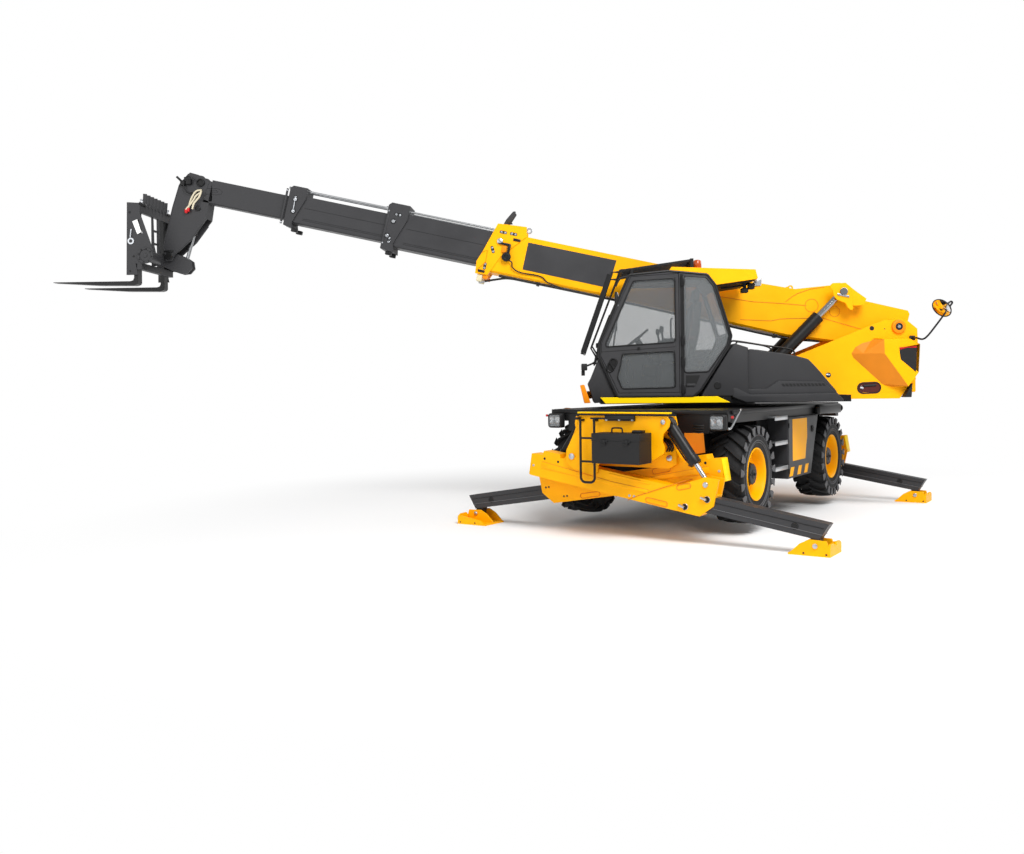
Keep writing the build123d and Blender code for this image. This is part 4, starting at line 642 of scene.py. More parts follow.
    def pin_head(
        self, centre: Point, axis: Axis, radius: float, rise: Flat, ease: float, sides: int
    ) -> "Shape":
        """Add a pin's round head with an eased edge.

        Args:
            centre: middle of the face it stands on, in the frame.
            axis: the pin's direction.
            radius: the head's radius.
            rise: signed heights of the edge's foot and of the crown.
            ease: how much narrower the crown is than the head.
            sides: facets round the pin.
        Returns:
            This shape.
        """
        foot, crown = rise
        return self.lathe(
            centre, axis, [(0, radius), (foot, radius), (crown, radius - ease), (crown, 0)], sides
        )

    def bolt(self, centre: Point, axis: Axis, out: float, radius: float = 0.012) -> "Shape":
        """Add a hexagon bolt head on a washer.

        Args:
            centre: middle of the face it stands on, in the frame.
            axis: the bolt's direction.
            out: sign of the way it stands out.
            radius: half the width across the head's corners.
        Returns:
            This shape.
        """
        h = radius * 0.75 * out
        self.disc(centre, axis, radius * 1.5, h * 0.35, 12)
        head = [(h * 0.3, radius), (h * 1.3, radius), (h * 1.45, radius * 0.8), (h * 1.45, 0)]
        return self.lathe(centre, axis, head, 6)

    def show(
        self, name: str, finish: Finish, slot: str = "", body: str = "", smooth: float = 32.0
    ) -> bpy.types.Object:
        """Turn the shape into a piece that rides on a body.

        Args:
            name: the piece's name.
            finish: what it is made of.
            slot: the record's material slot, when it has one.
            body: the body it moves with, when that isn't the frame's own.
            smooth: edges flatter than this many degrees are smoothed.
        Returns:
            The new object.
        """
        bmesh.ops.remove_doubles(self.mesh, verts=self.mesh.verts, dist=MERGE)
        self.mesh.normal_update()
        for face in self.mesh.faces:
            face.smooth = True
        for edge in self.mesh.edges:
            edge.smooth = len(edge.link_faces) == 2 and edge.calc_face_angle(pi) < radians(smooth)
        data = bpy.data.meshes.new(name)
        self.mesh.to_mesh(data)
        self.mesh.free()
        data.materials.append(PALETTE.get(finish))
        piece = bpy.data.objects.new(name, data)
        bpy.context.scene.collection.objects.link(piece)
        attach(piece, body or self.frame.body)
        LOG.info("%s rides on %s", name, body or self.frame.body)
        return piece


# ------------------------------------------------------------------ sub-assemblies
@dataclass
class Wheel:
    """One wheel: lugged tyre, painted dish and the planetary hub inside it."""

    corner: str
    radius: float = 0.575
    carcass: float = 0.54
    half_width: float = 0.222
    lugs: int = 21
    centre: Frame = field(init=False)

    def __post_init__(self) -> None:
        """Stand the wheel's frame on its axle end."""
        x, side = CORNERS[self.corner]
        self.centre = Frame(
            Vector((x, side * TYRE_Y, WHEEL_Z)), Vector((1, 0, 0)), Vector((0, side, 0)), WORLD_UP
        )

    def _lug(self, shape: Shape, turn: float, side: int) -> None:
        """Add one chevron lug from the tread's middle, over the shoulder, down the wall.

        Args:
            shape: the tyre's mesh.
            turn: the lug's place round the wheel, in radians.
            side: 1 for the outer row and -1 for the inner one.
        """
        stations = [
            (-0.012, self.radius, 0.034, 0.04, 0.0),
            (0.07, self.radius, 0.038, 0.042, 0.06),
            (0.14, self.radius - 0.003, 0.044, 0.046, 0.115),
            (0.196, self.radius - 0.012, 0.052, 0.052, 0.15),
            (0.224, self.radius - 0.045, 0.052, 0.052, 0.16),
            (0.229, self.radius - 0.105, 0.036, 0.04, 0.165),
        ]
        floors = [self.carcass - 0.005, self.carcass - 0.006, self.carcass - 0.01,
                  self.carcass - 0.022, self.carcass - 0.05, self.carcass - 0.085]
        inward = [0, 0, 0, 0.01, 0.02, 0.02]
        rings = []
        for (y, r, top, foot, lead), floor, tuck in zip(stations, floors, inward):
            ring = []
            for radial, half, back in ((floor, foot / 2, tuck), (r, top / 2, 0.0)):
                for sign in (-1, 1):
                    a = turn + (lead + sign * half) / self.radius
                    ring.append(shape.mesh.verts.new(
                        self.centre.at(radial * sin(a), side * (y - back), radial * cos(a))
                    ))
            rings.append([ring[0], ring[1], ring[3], ring[2]])
        faces = [shape.mesh.faces.new(rings[0]), shape.mesh.faces.new(rings[-1])]
        for a, b in zip(rings, rings[1:]):
            for k in range(4):
                m = (k + 1) % 4
                faces.append(shape.mesh.faces.new((a[k], a[m], b[m], b[k])))
        bmesh.ops.recalc_face_normals(shape.mesh, faces=faces)

    def build(self) -> None:
        """Make the tyre, dish, hub and their bolts."""
        body = "wheel_" + self.corner
        w = self.half_width
        tyre = Shape(self.centre)
        half = [(0.0, self.carcass), (0.1, self.carcass - 0.004), (0.165, self.carcass - 0.016),
                (w - 0.02, self.carcass - 0.05), (w - 0.004, 0.465), (w + 0.001, 0.415),
                (w - 0.008, 0.365), (0.203, 0.34), (0.203, 0.33), (0.198, 0.322), (0.193, 0.3)]
        profile = [(-y, r) for y, r in half[::-1]] + half[1:]
        tyre.lathe((0, 0, 0), Axis.Y, profile, 96, closed=False)
        for k in range(self.lugs):
            self._lug(tyre, 2 * pi * k / self.lugs, 1)
            self._lug(tyre, 2 * pi * (k + 0.5) / self.lugs, -1)
        piece = tyre.show("tread_" + self.corner, RUBBER, "tyre_rubber", body, smooth=38)
        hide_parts("tyre_" + self.corner)
        # Paler rings on the sidewall and on the lugs' ends, a painted highlight.
        rings = Shape(self.centre)
        for r, y in ((0.455, 0.2185), (0.395, 0.2225), (0.372, 0.2175)):
            rings.lathe((0, y, 0), Axis.Y, [(-0.004, r - 0.006), (0.003, r - 0.002), (0.003, r + 0.002),
                (-0.004, r + 0.006)], 64, False)
        for k in range(self.lugs):
            middle = 2 * pi * k / self.lugs + 0.16 / self.radius
            end = [
                (r * sin(middle + w / r), r * cos(middle + w / r))
                for r, w in ((0.562, -0.05), (0.562, 0.044), (0.5, 0.038), (0.448, 0.004), (0.47, -0.026))
            ]
            rings.prism(end, 0.218, 0.2305, 0.004, 1)
        rings.show("tyre_ring_highlights_" + self.corner, RUBBER_HIGHLIGHT, "tyre_rubber", body)
        dish = Shape(self.centre)
        dish.lathe((0, 0, 0), Axis.Y, [
            (-0.205, 0.298), (-0.195, 0.31), (-0.185, 0.298), (-0.19, 0.284), (-0.205, 0.276),
            (0.02, 0.272), (0.04, 0.255), (0.052, 0.232), (0.058, 0.205), (0.058, 0.138),
            (0.07, 0.138), (0.07, 0.206), (0.064, 0.236), (0.072, 0.258), (0.1, 0.268),
            (0.15, 0.274), (0.185, 0.283), (0.2, 0.29), (0.207, 0.3), (0.204, 0.308), (0.197, 0.309),
            (0.19, 0.298)], 72, False)
        for place in ring_of((0, 0.07, 0), 0.176, 10):
            dish.bolt(place, Axis.Y, 1, 0.013)
        piece = dish.show("dish_" + self.corner, YELLOW, "yellow_paint", body, smooth=30)
        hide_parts("rim_" + self.corner)
        hub = Shape(self.centre)
        hub.lathe((0, 0, 0), Axis.Y, [
            (0.01, 0.142), (0.1, 0.142), (0.104, 0.138), (0.104, 0.128), (0.15, 0.122),
            (0.16, 0.112), (0.163, 0.06), (0.172, 0.052), (0.174, 0.0)], 48)
        for place in ring_of((0, 0.104, 0), 0.133, 12):
            hub.bolt(place, Axis.Y, 1, 0.008)
        hub.bolt((0, 0.174, 0), Axis.Y, 1, 0.016)
        hub.bolt((0.085, 0.162, 0), Axis.Y, 1, 0.01)
        hub.show("hub_" + self.corner, BLACK, body=body)


@dataclass
class Stabiliser:
    """The look of one stabiliser: its ribs, holes, pins, ram collar and foot."""

    corner: str
    half_width: float = 0.09
    gusset: float = 0.093
    boss: float = 0.122
    slider_half: float = 0.075
    foot_half: float = 0.113
    tail: float = -0.586
    frame: Frame = field(init=False)

    def __post_init__(self) -> None:
        """Lay the frame along this corner's beam."""
        self.frame = beam_frame(self.corner)

    def build(self) -> None:
        """Make every piece of this stabiliser."""
        beam, slider = "beam_" + self.corner, "slider_" + self.corner
        run_out = STATIONS[self.corner][2]
        # The rib lines round the recesses, along the crease and along the gusset's edge are drawn in the deep painted
        # shade of those edges.
        ribs, ridge = blanks(self.frame, 2)
        for face in (1, -1):
            skin = face * self.gusset
            for spot, length, tilt in (((1.12, -0.297), 0.27, 0), ((1.415, -0.06), 0.17, 22)):
                ribs.tube([(a, skin, b) for a, b in stadium(spot, length, 0.056, tilt)], 0.005, 6, True)
            ribs.tube([(0.771, skin, -0.352), (0.909, skin, -0.264), (1.425, skin, 0.01)], 0.005, 6)
            side = face * self.half_width
            ribs.tube([(a, side, b) for a, b in stadium((0.15, -0.12), 0.23, 0.062, -3)], 0.005, 6, True)
            crease = ((-0.42, -0.15), (0.52, -0.191), (1.0, -0.186))
            ribs.tube([(a, side + face * 0.002, b) for a, b in crease], 0.004, 6)
            fold = [(-0.42, -0.15), (0.52, -0.191), (1.0, -0.186), (1.0, -0.226), (-0.42, -0.226)]
            press = [(0.49, -0.1), (1.01, -0.106), (1.01, -0.122), (0.49, -0.116)]
            for outline in (fold, press):
                ridge.prism(outline, side, side + face * 0.007, 0.006, 2)
        ribs.show("shaded_rib_lines_" + self.corner, SHADE, "yellow_paint", beam)
        ridge.show("beam_ridge_" + self.corner, YELLOW, "yellow_paint", beam)
        ends = Shape(self.frame)
        ends.box((self.tail, -0.085, -0.335), (self.tail + 0.006, 0.085, -0.082), 0.002)
        ends.show("beam_end_film_" + self.corner, LIME, body=beam)
        pins, holes, rings = blanks(self.frame, 3)
        for face in (1, -1):
            for (u, v), y, r in ((RAM_EYE, self.gusset, 0.03), ((0.0, 0.0), self.boss, 0.036)):
                pins.pin_head((u, face * y, v), Axis.Y, r, (face * 0.01, face * 0.013), 0.004, 20)
            for u, v in ((1.461, -0.274), (1.7, -0.14)):
                if face < 0:
                    for k in (-1, 1):
                        holes.disc((u + 0.022 * k, -self.gusset, v), Axis.Y, 0.012, -0.002, 14)
                    continue
                holes.disc((u, self.gusset, v), Axis.Y, 0.036, 0.002, 20)
                rings.lathe((u, self.gusset + 0.002, v), Axis.Y, [(0, 0.038), (0.006, 0.034), (0, 0.03)], 20, False)
                rings.tube([(u - 0.07, self.gusset + 0.012, v + 0.006), (u, self.gusset + 0.018, v - 0.004)], 0.015, 10)
            for u, v in ((-0.391, -0.108), (-0.201, -0.109)):
                holes.disc((u, face * self.half_width, v), Axis.Y, 0.015, face * 0.002, 16)
            for u, v in ((0.78, -0.3), (0.84, -0.295), (-0.535, -0.217)):
                pins.bolt((u, face * self.half_width, v), Axis.Y, face, 0.01)
        pins.show("pins_" + self.corner, ZINC, body=beam)
        holes.show("sight_holes_" + self.corner, PLASTIC, body=beam)
        rings.show("lock_pins_" + self.corner, SILVER, body=beam)
        # The lower strip on each side is a pale painted highlight along the slider's fold; the upper one is a dark
        # seam.
        lines, light = blanks(self.frame, 2)
        for face in (1, -1):
            y = face * self.slider_half
            for shape, v in ((lines, -0.165), (light, -0.232)):
                far = 2.93 + run_out
                strip = [(1.72, v), (far, v), (far, v + 0.007), (1.72, v + 0.007)]
                shape.prism(strip, y, y + face * 0.004, 0.001, 1)
        lines.show("slider_seams_" + self.corner, BLACK, body=slider)
        light.show("slider_fold_highlights_" + self.corner, FOLD_HIGHLIGHT, body=slider)
        spot = Shape(self.frame)
        for face in (1, -1):
            high, low = face * 0.0015, face * 0.0005
            ring = [(0, 0.04), (high, 0.04), (high, 0.028), (low, 0.028), (low, 0)]
            spot.lathe((2.636 + run_out, face * self.slider_half, -0.204), Axis.Y, ring, 20)
        spot.show("slider_boss_" + self.corner, BLACK, body=slider)
        self._foot()
        self._ram()

    def _foot(self) -> None:
        """Add the pin heads, weep holes as discs of painted shade, stiffeners in painted shade and the dark bracket of
        the foot.
        """
        x, side, run_out = STATIONS[self.corner]
        pin = self.frame.at(2.878 + run_out, 0, -0.347)
        here = Frame(Vector((x, pin.y, 0)), Vector((side, 0, 0)), Vector((0, side, 0)), WORLD_UP)
        body = "foot_" + self.corner
        heads, holes, webs, stay = blanks(here, 4)
        for face in (1, -1):
            heads.pin_head((face * self.foot_half, 0, pin.z), Axis.X, 0.026, (face * 0.006, face * 0.009), 0.005, 24)
        heads.show("foot_pin_" + self.corner, ZINC, body=body)
        # The holes are drawn as flat dark discs in painted shade.
        for y in (-0.12, 0.11):
            holes.disc((0.105, y, 0.026), Axis.X, 0.011, 0.001, 14)
            holes.disc((-0.295, y, 0.026), Axis.X, 0.011, -0.001, 14)
        holes.disc((-0.03, -0.2, 0.02), Axis.Z, 0.03, 0.001, 20)
        holes.show("foot_hole_shades_" + self.corner, HOLE_SHADE_RED, body=body)
        for a in (-0.02, -0.1, -0.19):
            webs.prism([(0.06, 0.018), (0.132, 0.018), (0.132, 0.096)], a - 0.006, a + 0.006, axis=Axis.X)
        # The webs are yellow paint drawn in the mid painted shade.
        webs.show("foot_webs_" + self.corner, MID_SHADE, "yellow_paint", body)
        stay.box((-0.084, -0.06, 0.019), (-0.052, 0.07, 0.06), 0.006)
        stay.box((0.052, -0.06, 0.019), (0.084, 0.07, 0.06), 0.006)
        stay.show("foot_stay_" + self.corner, BLACK, body=body)

    def _ram(self) -> None:
        """Add the ram's collars and hose fittings."""
        x, side, _ = STATIONS[self.corner]
        top = Vector((x, side * RAM_PIN[0], RAM_PIN[1]))
        low = self.frame.at(RAM_EYE[0], 0, RAM_EYE[1])
        run = (low - top).normalized()
        flat = Vector((1, 0, 0))
        here = Frame(top, flat, flat.cross(run), run)
        collar = Shape(here)
        collar.lathe((0, 0, 0), Axis.Z, [(0.47, 0.062), (0.47, 0.07), (0.545, 0.071), (0.562, 0.066), (0.562, 0.029),
            (0.47, 0.029)], 32, False)
        collar.lathe((0, 0, 0), Axis.Z, [(0.05, 0.066), (0.08, 0.066), (0.08, 0.06), (0.05, 0.06)], 32, False)
        out = side * -1
        collar.box((-0.018, out * 0.058, 0.1), (0.018, out * 0.085, 0.16), 0.004)
        collar.tube([(0, out * 0.078, 0.15), (0, out * 0.078, 0.44), (0, out * 0.066, 0.5)], 0.009, 8)
        collar.show("ram_collar_" + self.corner, BLACK, body="ram_tube_" + self.corner)


@dataclass
class Chassis:
    """Lamps, steps, lockers and trim of the carrier."""

    deck_edge: float = 1.15
    deck_end: float = 2.18
    deck_top: float = 1.44
    locker_skin: float = 1.22
    step_edge: float = 1.232
    frame_face: float = 2.694

    def build(self) -> None:
        """Make every piece of the carrier's trim."""
        self._headlamps()
        self._tail()
        self._lockers()
        self._steps()
        self._front_plate()
        self._toolbox()
        self._deck()
        self._driveline()

    def _headlamps(self) -> None:
        """Make the two lamp clusters under the deck's front corners."""
        housing, bowl, lens, red = blanks(CHASSIS, 4)
        for side in (1, -1):
            inner, outer = sorted((side * 0.962, side * 1.15))
            housing.box((2.181, inner, 1.222), (2.268, outer, 1.4), 0.022, 3)
            edge = [(inner + 0.012, 1.234), (outer - 0.012, 1.234), (outer - 0.012, 1.388), (inner + 0.012, 1.388)]
            housing.tube([(2.278, a, b) for a, b in rounded(edge, 0.03, 5)], 0.013, 8, True)
            for y in (side * 1.01, side * 1.098):
                bowl.lathe((2.269, y, 1.314), Axis.X, [(0.001, 0.0), (0.004, 0.016), (0.018, 0.042)], 24, False)
            housing.box((2.266, inner + 0.016, 1.24), (2.2695, outer - 0.016, 1.382))
            lens.box((2.284, inner + 0.014, 1.238), (2.289, outer - 0.014, 1.384), 0.003)
            red.box((2.2, side * 1.196, 1.356), (2.224, side * 1.224, 1.384), 0.006)
        piece = housing.show("headlamp_housings", PLASTIC, "black_plastic")
        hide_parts("lamps")
        bowl.show("headlamp_reflectors", CHROME)
        lens.show("headlamp_lenses", CLEAR, "clear_lens")
        red.show("marker_lenses", RED_LENS)

    def _tail(self) -> None:
        """Make the rounded rear side bars with their red end lamps."""
        bars, lamps, rims = blanks(CHASSIS, 3)
        for side in (1, -1):
            section = [(side * 1.15, 1.43), (side * 1.23, 1.43), (side * 1.235, 1.292), (side * 1.15, 1.292)]
            bars.prism(section, -2.08, -0.96, 0.035, 4, axis=Axis.X)
            rims.lathe((-2.08, side * 1.185, 1.36), Axis.X, [(0.004, 0.058), (-0.026, 0.056), (-0.03, 0.05),
                (-0.02, 0.046), (-0.01, 0.0)], 28)
            lamps.lathe((-2.092, side * 1.185, 1.36), Axis.X, [(0, 0.046), (-0.014, 0.042), (-0.02, 0.0)], 28)
        bars.show("rear_side_bars", BLACK, "black_paint")
        rims.show("tail_lamp_rims", PLASTIC)
        lamps.show("tail_lamp_lenses", RED_LENS)

    def _lockers(self) -> None:
        """Make the lockers' door panels, colour shapes, stripes and locks."""
        doors, shapes, stripes, locks = blanks(CHASSIS, 4)
        for side in (1, -1):
            skin = side * self.locker_skin
            door = [(0.352, 0.545), (0.352, 1.288), (-0.893, 1.288), (-0.742, 0.966), (-0.56, 0.545)]
            doors.prism(rounded(door, 0.03), skin, skin + side * 0.008, 0.003, 1)
            face = skin + side * 0.008
            film = [(0.2, 1.275), (-0.4, 1.275), (-0.405, 1.02), (-0.36, 0.91), (-0.315, 0.74), (0.2, 0.74)]
            shapes.prism(rounded(film, 0.01), face, face + side * 0.001)
            for x in (0.345, 0.03, -0.255):
                stripes.prism([(x, 0.552), (x - 0.135, 0.552), (x - 0.205, 0.665), (x - 0.07, 0.665)], face,
                    face + side * 0.001)
            locks.lathe((-0.62, face, 1.12), Axis.Y, [(0, 0.045), (side * 0.012, 0.043), (side * 0.012, 0.03),
                (side * 0.004, 0.028), (side * 0.004, 0.012), (side * 0.016, 0.01), (side * 0.016, 0)], 24)
            for z in (0.62, 1.2):
                locks.box((0.34, face, z - 0.03), (0.362, face + side * 0.01, z + 0.03), 0.003)
        doors.show("locker_doors", GREY, "dark_grey_paint")
        shapes.show("locker_films", YELLOW, "yellow_paint")
        stripes.show("locker_stripes", YELLOW)
        locks.show("locker_locks", PLASTIC)

    def _steps(self) -> None:
        """Make the toothed alloy treads of the cab steps and the bright grab tubes."""
        treads, tubes = blanks(CHASSIS, 2)
        for side in (1, -1):
            for z in (1.31, 1.0, 0.685):
                lo, edge = side * 1.075, side * self.step_edge
                treads.box((0.4, lo, z), (0.86, edge, z + 0.012), 0.002)
                for k in range(12):
                    x = 0.42 + k * 0.0382
                    treads.box((x, lo, z + 0.012), (x + 0.01, edge, z + 0.022), 0.001)
                treads.box((0.395, edge, z - 0.03), (0.865, edge - side * 0.012, z + 0.024), 0.004)
            tubes.hose([(1.76, side * 1.15, 1.44), (1.86, side * 1.168, 1.44), (1.94, side * 1.172, 1.395),
                (2.14, side * 1.168, 1.254), (2.2, side * 1.15, 1.238)], 0.013, 10)
        treads.show("step_treads", SILVER, "zinc_steel")
        tubes.show("side_grab_tubes", SILVER, "zinc_steel")

    def _front_plate(self) -> None:
        """Make the yellow top strip, pins and rails of the stabiliser frames, and their back plates in painted shade.
        """
        strip, rails, pins, back = blanks(CHASSIS, 4)
        for end in (1, -1):
            strip.box((end * 2.545, -0.52, 1.4145), (end * 2.64, 0.64, 1.432), 0.004)
            rails.box((end * 2.25, -0.45, 1.3895), (end * 2.6, 0.56, 1.4145), 0.003)
            x = end * 2.7
            rails.hose([(x, -0.47 * end, 1.385), (x, -0.455 * end, 1.402), (x, 0.0, 1.404), (x, 0.7 * end, 1.404),
                (x, 0.735 * end, 1.402)], 0.011, 8)
            for y, z, r in ((-BEAM_PIN[0], BEAM_PIN[1], 0.036), (*RAM_PIN, 0.028)):
                pins.pin_head((end * self.frame_face, end * y, z), Axis.X, r, (end * 0.012, end * 0.015), 0.005, 24)
            pins.pin_head((end * MIDDLE_FACE, end * BEAM_PIN[0], BEAM_PIN[1]), Axis.X, 0.034, (end * 0.01, end * 0.013),
                0.005, 24)
            # The plates behind the rams are drawn in the deep painted shade that falls on the box's side.
            shade = [(0.625, 1.185), (0.857, 1.188), (0.875, 0.967), (0.7, 0.939), (0.64, 1.0)]
            back.prism([(end * y, z) for y, z in shade], end * 2.1815, end * 2.196, 0.002, 1, axis=Axis.X)
        back.show("frame_back_plates_in_shade", SHADE, "yellow_paint")
        strip.show("frame_top_strips", LIME)
        rails.show("frame_rails", BLACK, "black_paint")
        pins.show("frame_pins", ZINC)
        hoses = Shape(CHASSIS)
        for k, y in enumerate((0.47, 0.5, 0.53)):
            hoses.hose([(2.455, y, 1.16 - 0.02 * k), (2.5, y + 0.05, 1.12), (2.5, y + 0.1, 1.05),
                (2.455, y + 0.06, 0.99)], 0.011, 8)
        hoses.show("stabiliser_hoses", HOSE)

    def _toolbox(self) -> None:
        """Make the box's lid line, latches and handle, and the ladder's bracket."""
        lid, latch, grip = blanks(CHASSIS, 3)
        lid.box((2.684, -0.142, 1.122), (2.986, 0.456, 1.2085), 0.008)
        lid.box((2.684, -0.1385, 0.874), (2.983, 0.4525, 0.892), 0.004)
        for y in (0.02, 0.3):
            lid.box((2.986, y - 0.045, 1.108), (2.992, y + 0.045, 1.138), 0.002)
            latch.box((2.992, y - 0.022, 1.08), (3.0, y + 0.022, 1.14), 0.003)
            latch.tube([(3.001, y - 0.03, 1.1), (3.003, y + 0.03, 1.1)], 0.004, 8)
        grip.hose([(2.83, 0.036, 1.205), (2.83, 0.04, 1.25), (2.83, 0.06, 1.262), (2.83, 0.146, 1.262),
            (2.83, 0.166, 1.25), (2.83, 0.17, 1.205)], 0.009, 8)
        for y in (0.036, 0.17):
            grip.box((2.81, y - 0.014, 1.205), (2.85, y + 0.014, 1.216), 0.003)
        grip.box((2.76, 0.3, 1.2085), (2.86, 0.42, 1.24), 0.006)
        lid.show("toolbox_lid", PLASTIC, "black_plastic")
        latch.show("toolbox_latches", BLACK)
        grip.show("toolbox_grip", BLACK)
        bracket, bolts = blanks(CHASSIS, 2)
        bracket.box((2.6825, -0.12, 1.335), (2.712, 0.258, 1.395), 0.005)
        bracket.box((2.6825, -0.48, 1.345), (2.775, -0.44, 1.375), 0.005)
        bracket.box((2.712, -0.3, 1.352), (2.73, 0.258, 1.372), 0.004)
        for y in (-0.095, 0.068, 0.232):
            bolts.bolt((2.712, y, 1.349), Axis.X, 1, 0.01)
        bracket.show("ladder_bracket", BLACK, "black_paint")
        bolts.show("ladder_bolts", ZINC)

    def _deck(self) -> None:
        """Make the deck's edge lip, hose bundle and the slewing ring's bolts."""
        lip, bolts, hoses = blanks(CHASSIS, 3)
        for side in (1, -1):
            y = side * self.deck_edge
            lip.box((-0.95, y, 1.395), (2.1, y + side * 0.03, 1.446), 0.008)
        for end in (1, -1):
            x = end * self.deck_end
            lip.box((x, -self.deck_edge, 1.395), (x + end * 0.02, self.deck_edge, 1.446), 0.006)
        lip.show("deck_lip", BLACK, "black_paint")
        for k in range(36):
            a = 2 * pi * k / 36
            here = (0.66 * cos(a), 0.66 * sin(a), self.deck_top)
            bolts.pin_head(here, Axis.Z, 0.017, (0.016, 0.018), 0.003, 6)
        bolts.lathe((0, 0, self.deck_top), Axis.Z, [(0, 0.7), (0.01, 0.7), (0.014, 0.694), (0.014, 0.632)], 72, False)
        bolts.show("slew_ring_bolts", GREY)
        for k in range(4):
            z = 1.3 - 0.028 * k
            hoses.hose([(2.09, 0.6 + 0.05 * k, z), (2.16, 0.7, z - 0.02), (2.185, 0.82, z - 0.03),
                (2.12, 0.93, z - 0.02)], 0.011, 8)
        hoses.show("bumper_hoses", HOSE)

    def _driveline(self) -> None:
        """Make the shafts, axle ribs and track rods under the machine."""
        shafts = Shape(CHASSIS)
        shafts.tube([(-1.34, 0, 0.72), (-0.55, 0, 0.86)], 0.04, 16)
        shafts.tube([(1.34, 0, 0.72), (0.55, 0, 0.86)], 0.04, 16)
        shafts.box((-0.6, -0.22, 0.7), (0.6, 0.22, 0.899), 0.03, 3)
        for x in (HALF_WHEELBASE, -HALF_WHEELBASE):
            towards = -1 if x > 0 else 1
            shafts.lathe((x + towards * 0.12, 0, 0.7), Axis.X, [(0, 0.155), (towards * 0.05, 0.14),
                (towards * 0.07, 0.06), (towards * 0.1, 0.055)], 28)
            for side in (1, -1):
                shafts.lathe((x, side * 0.17, 0.685), Axis.Y, [(0, 0.19), (side * 0.02, 0.188), (side * 0.08, 0.13),
                    (side * 0.22, 0.098), (side * 0.6, 0.092)], 32, False)
        shafts.show("driveline", BLACK, "black_paint")


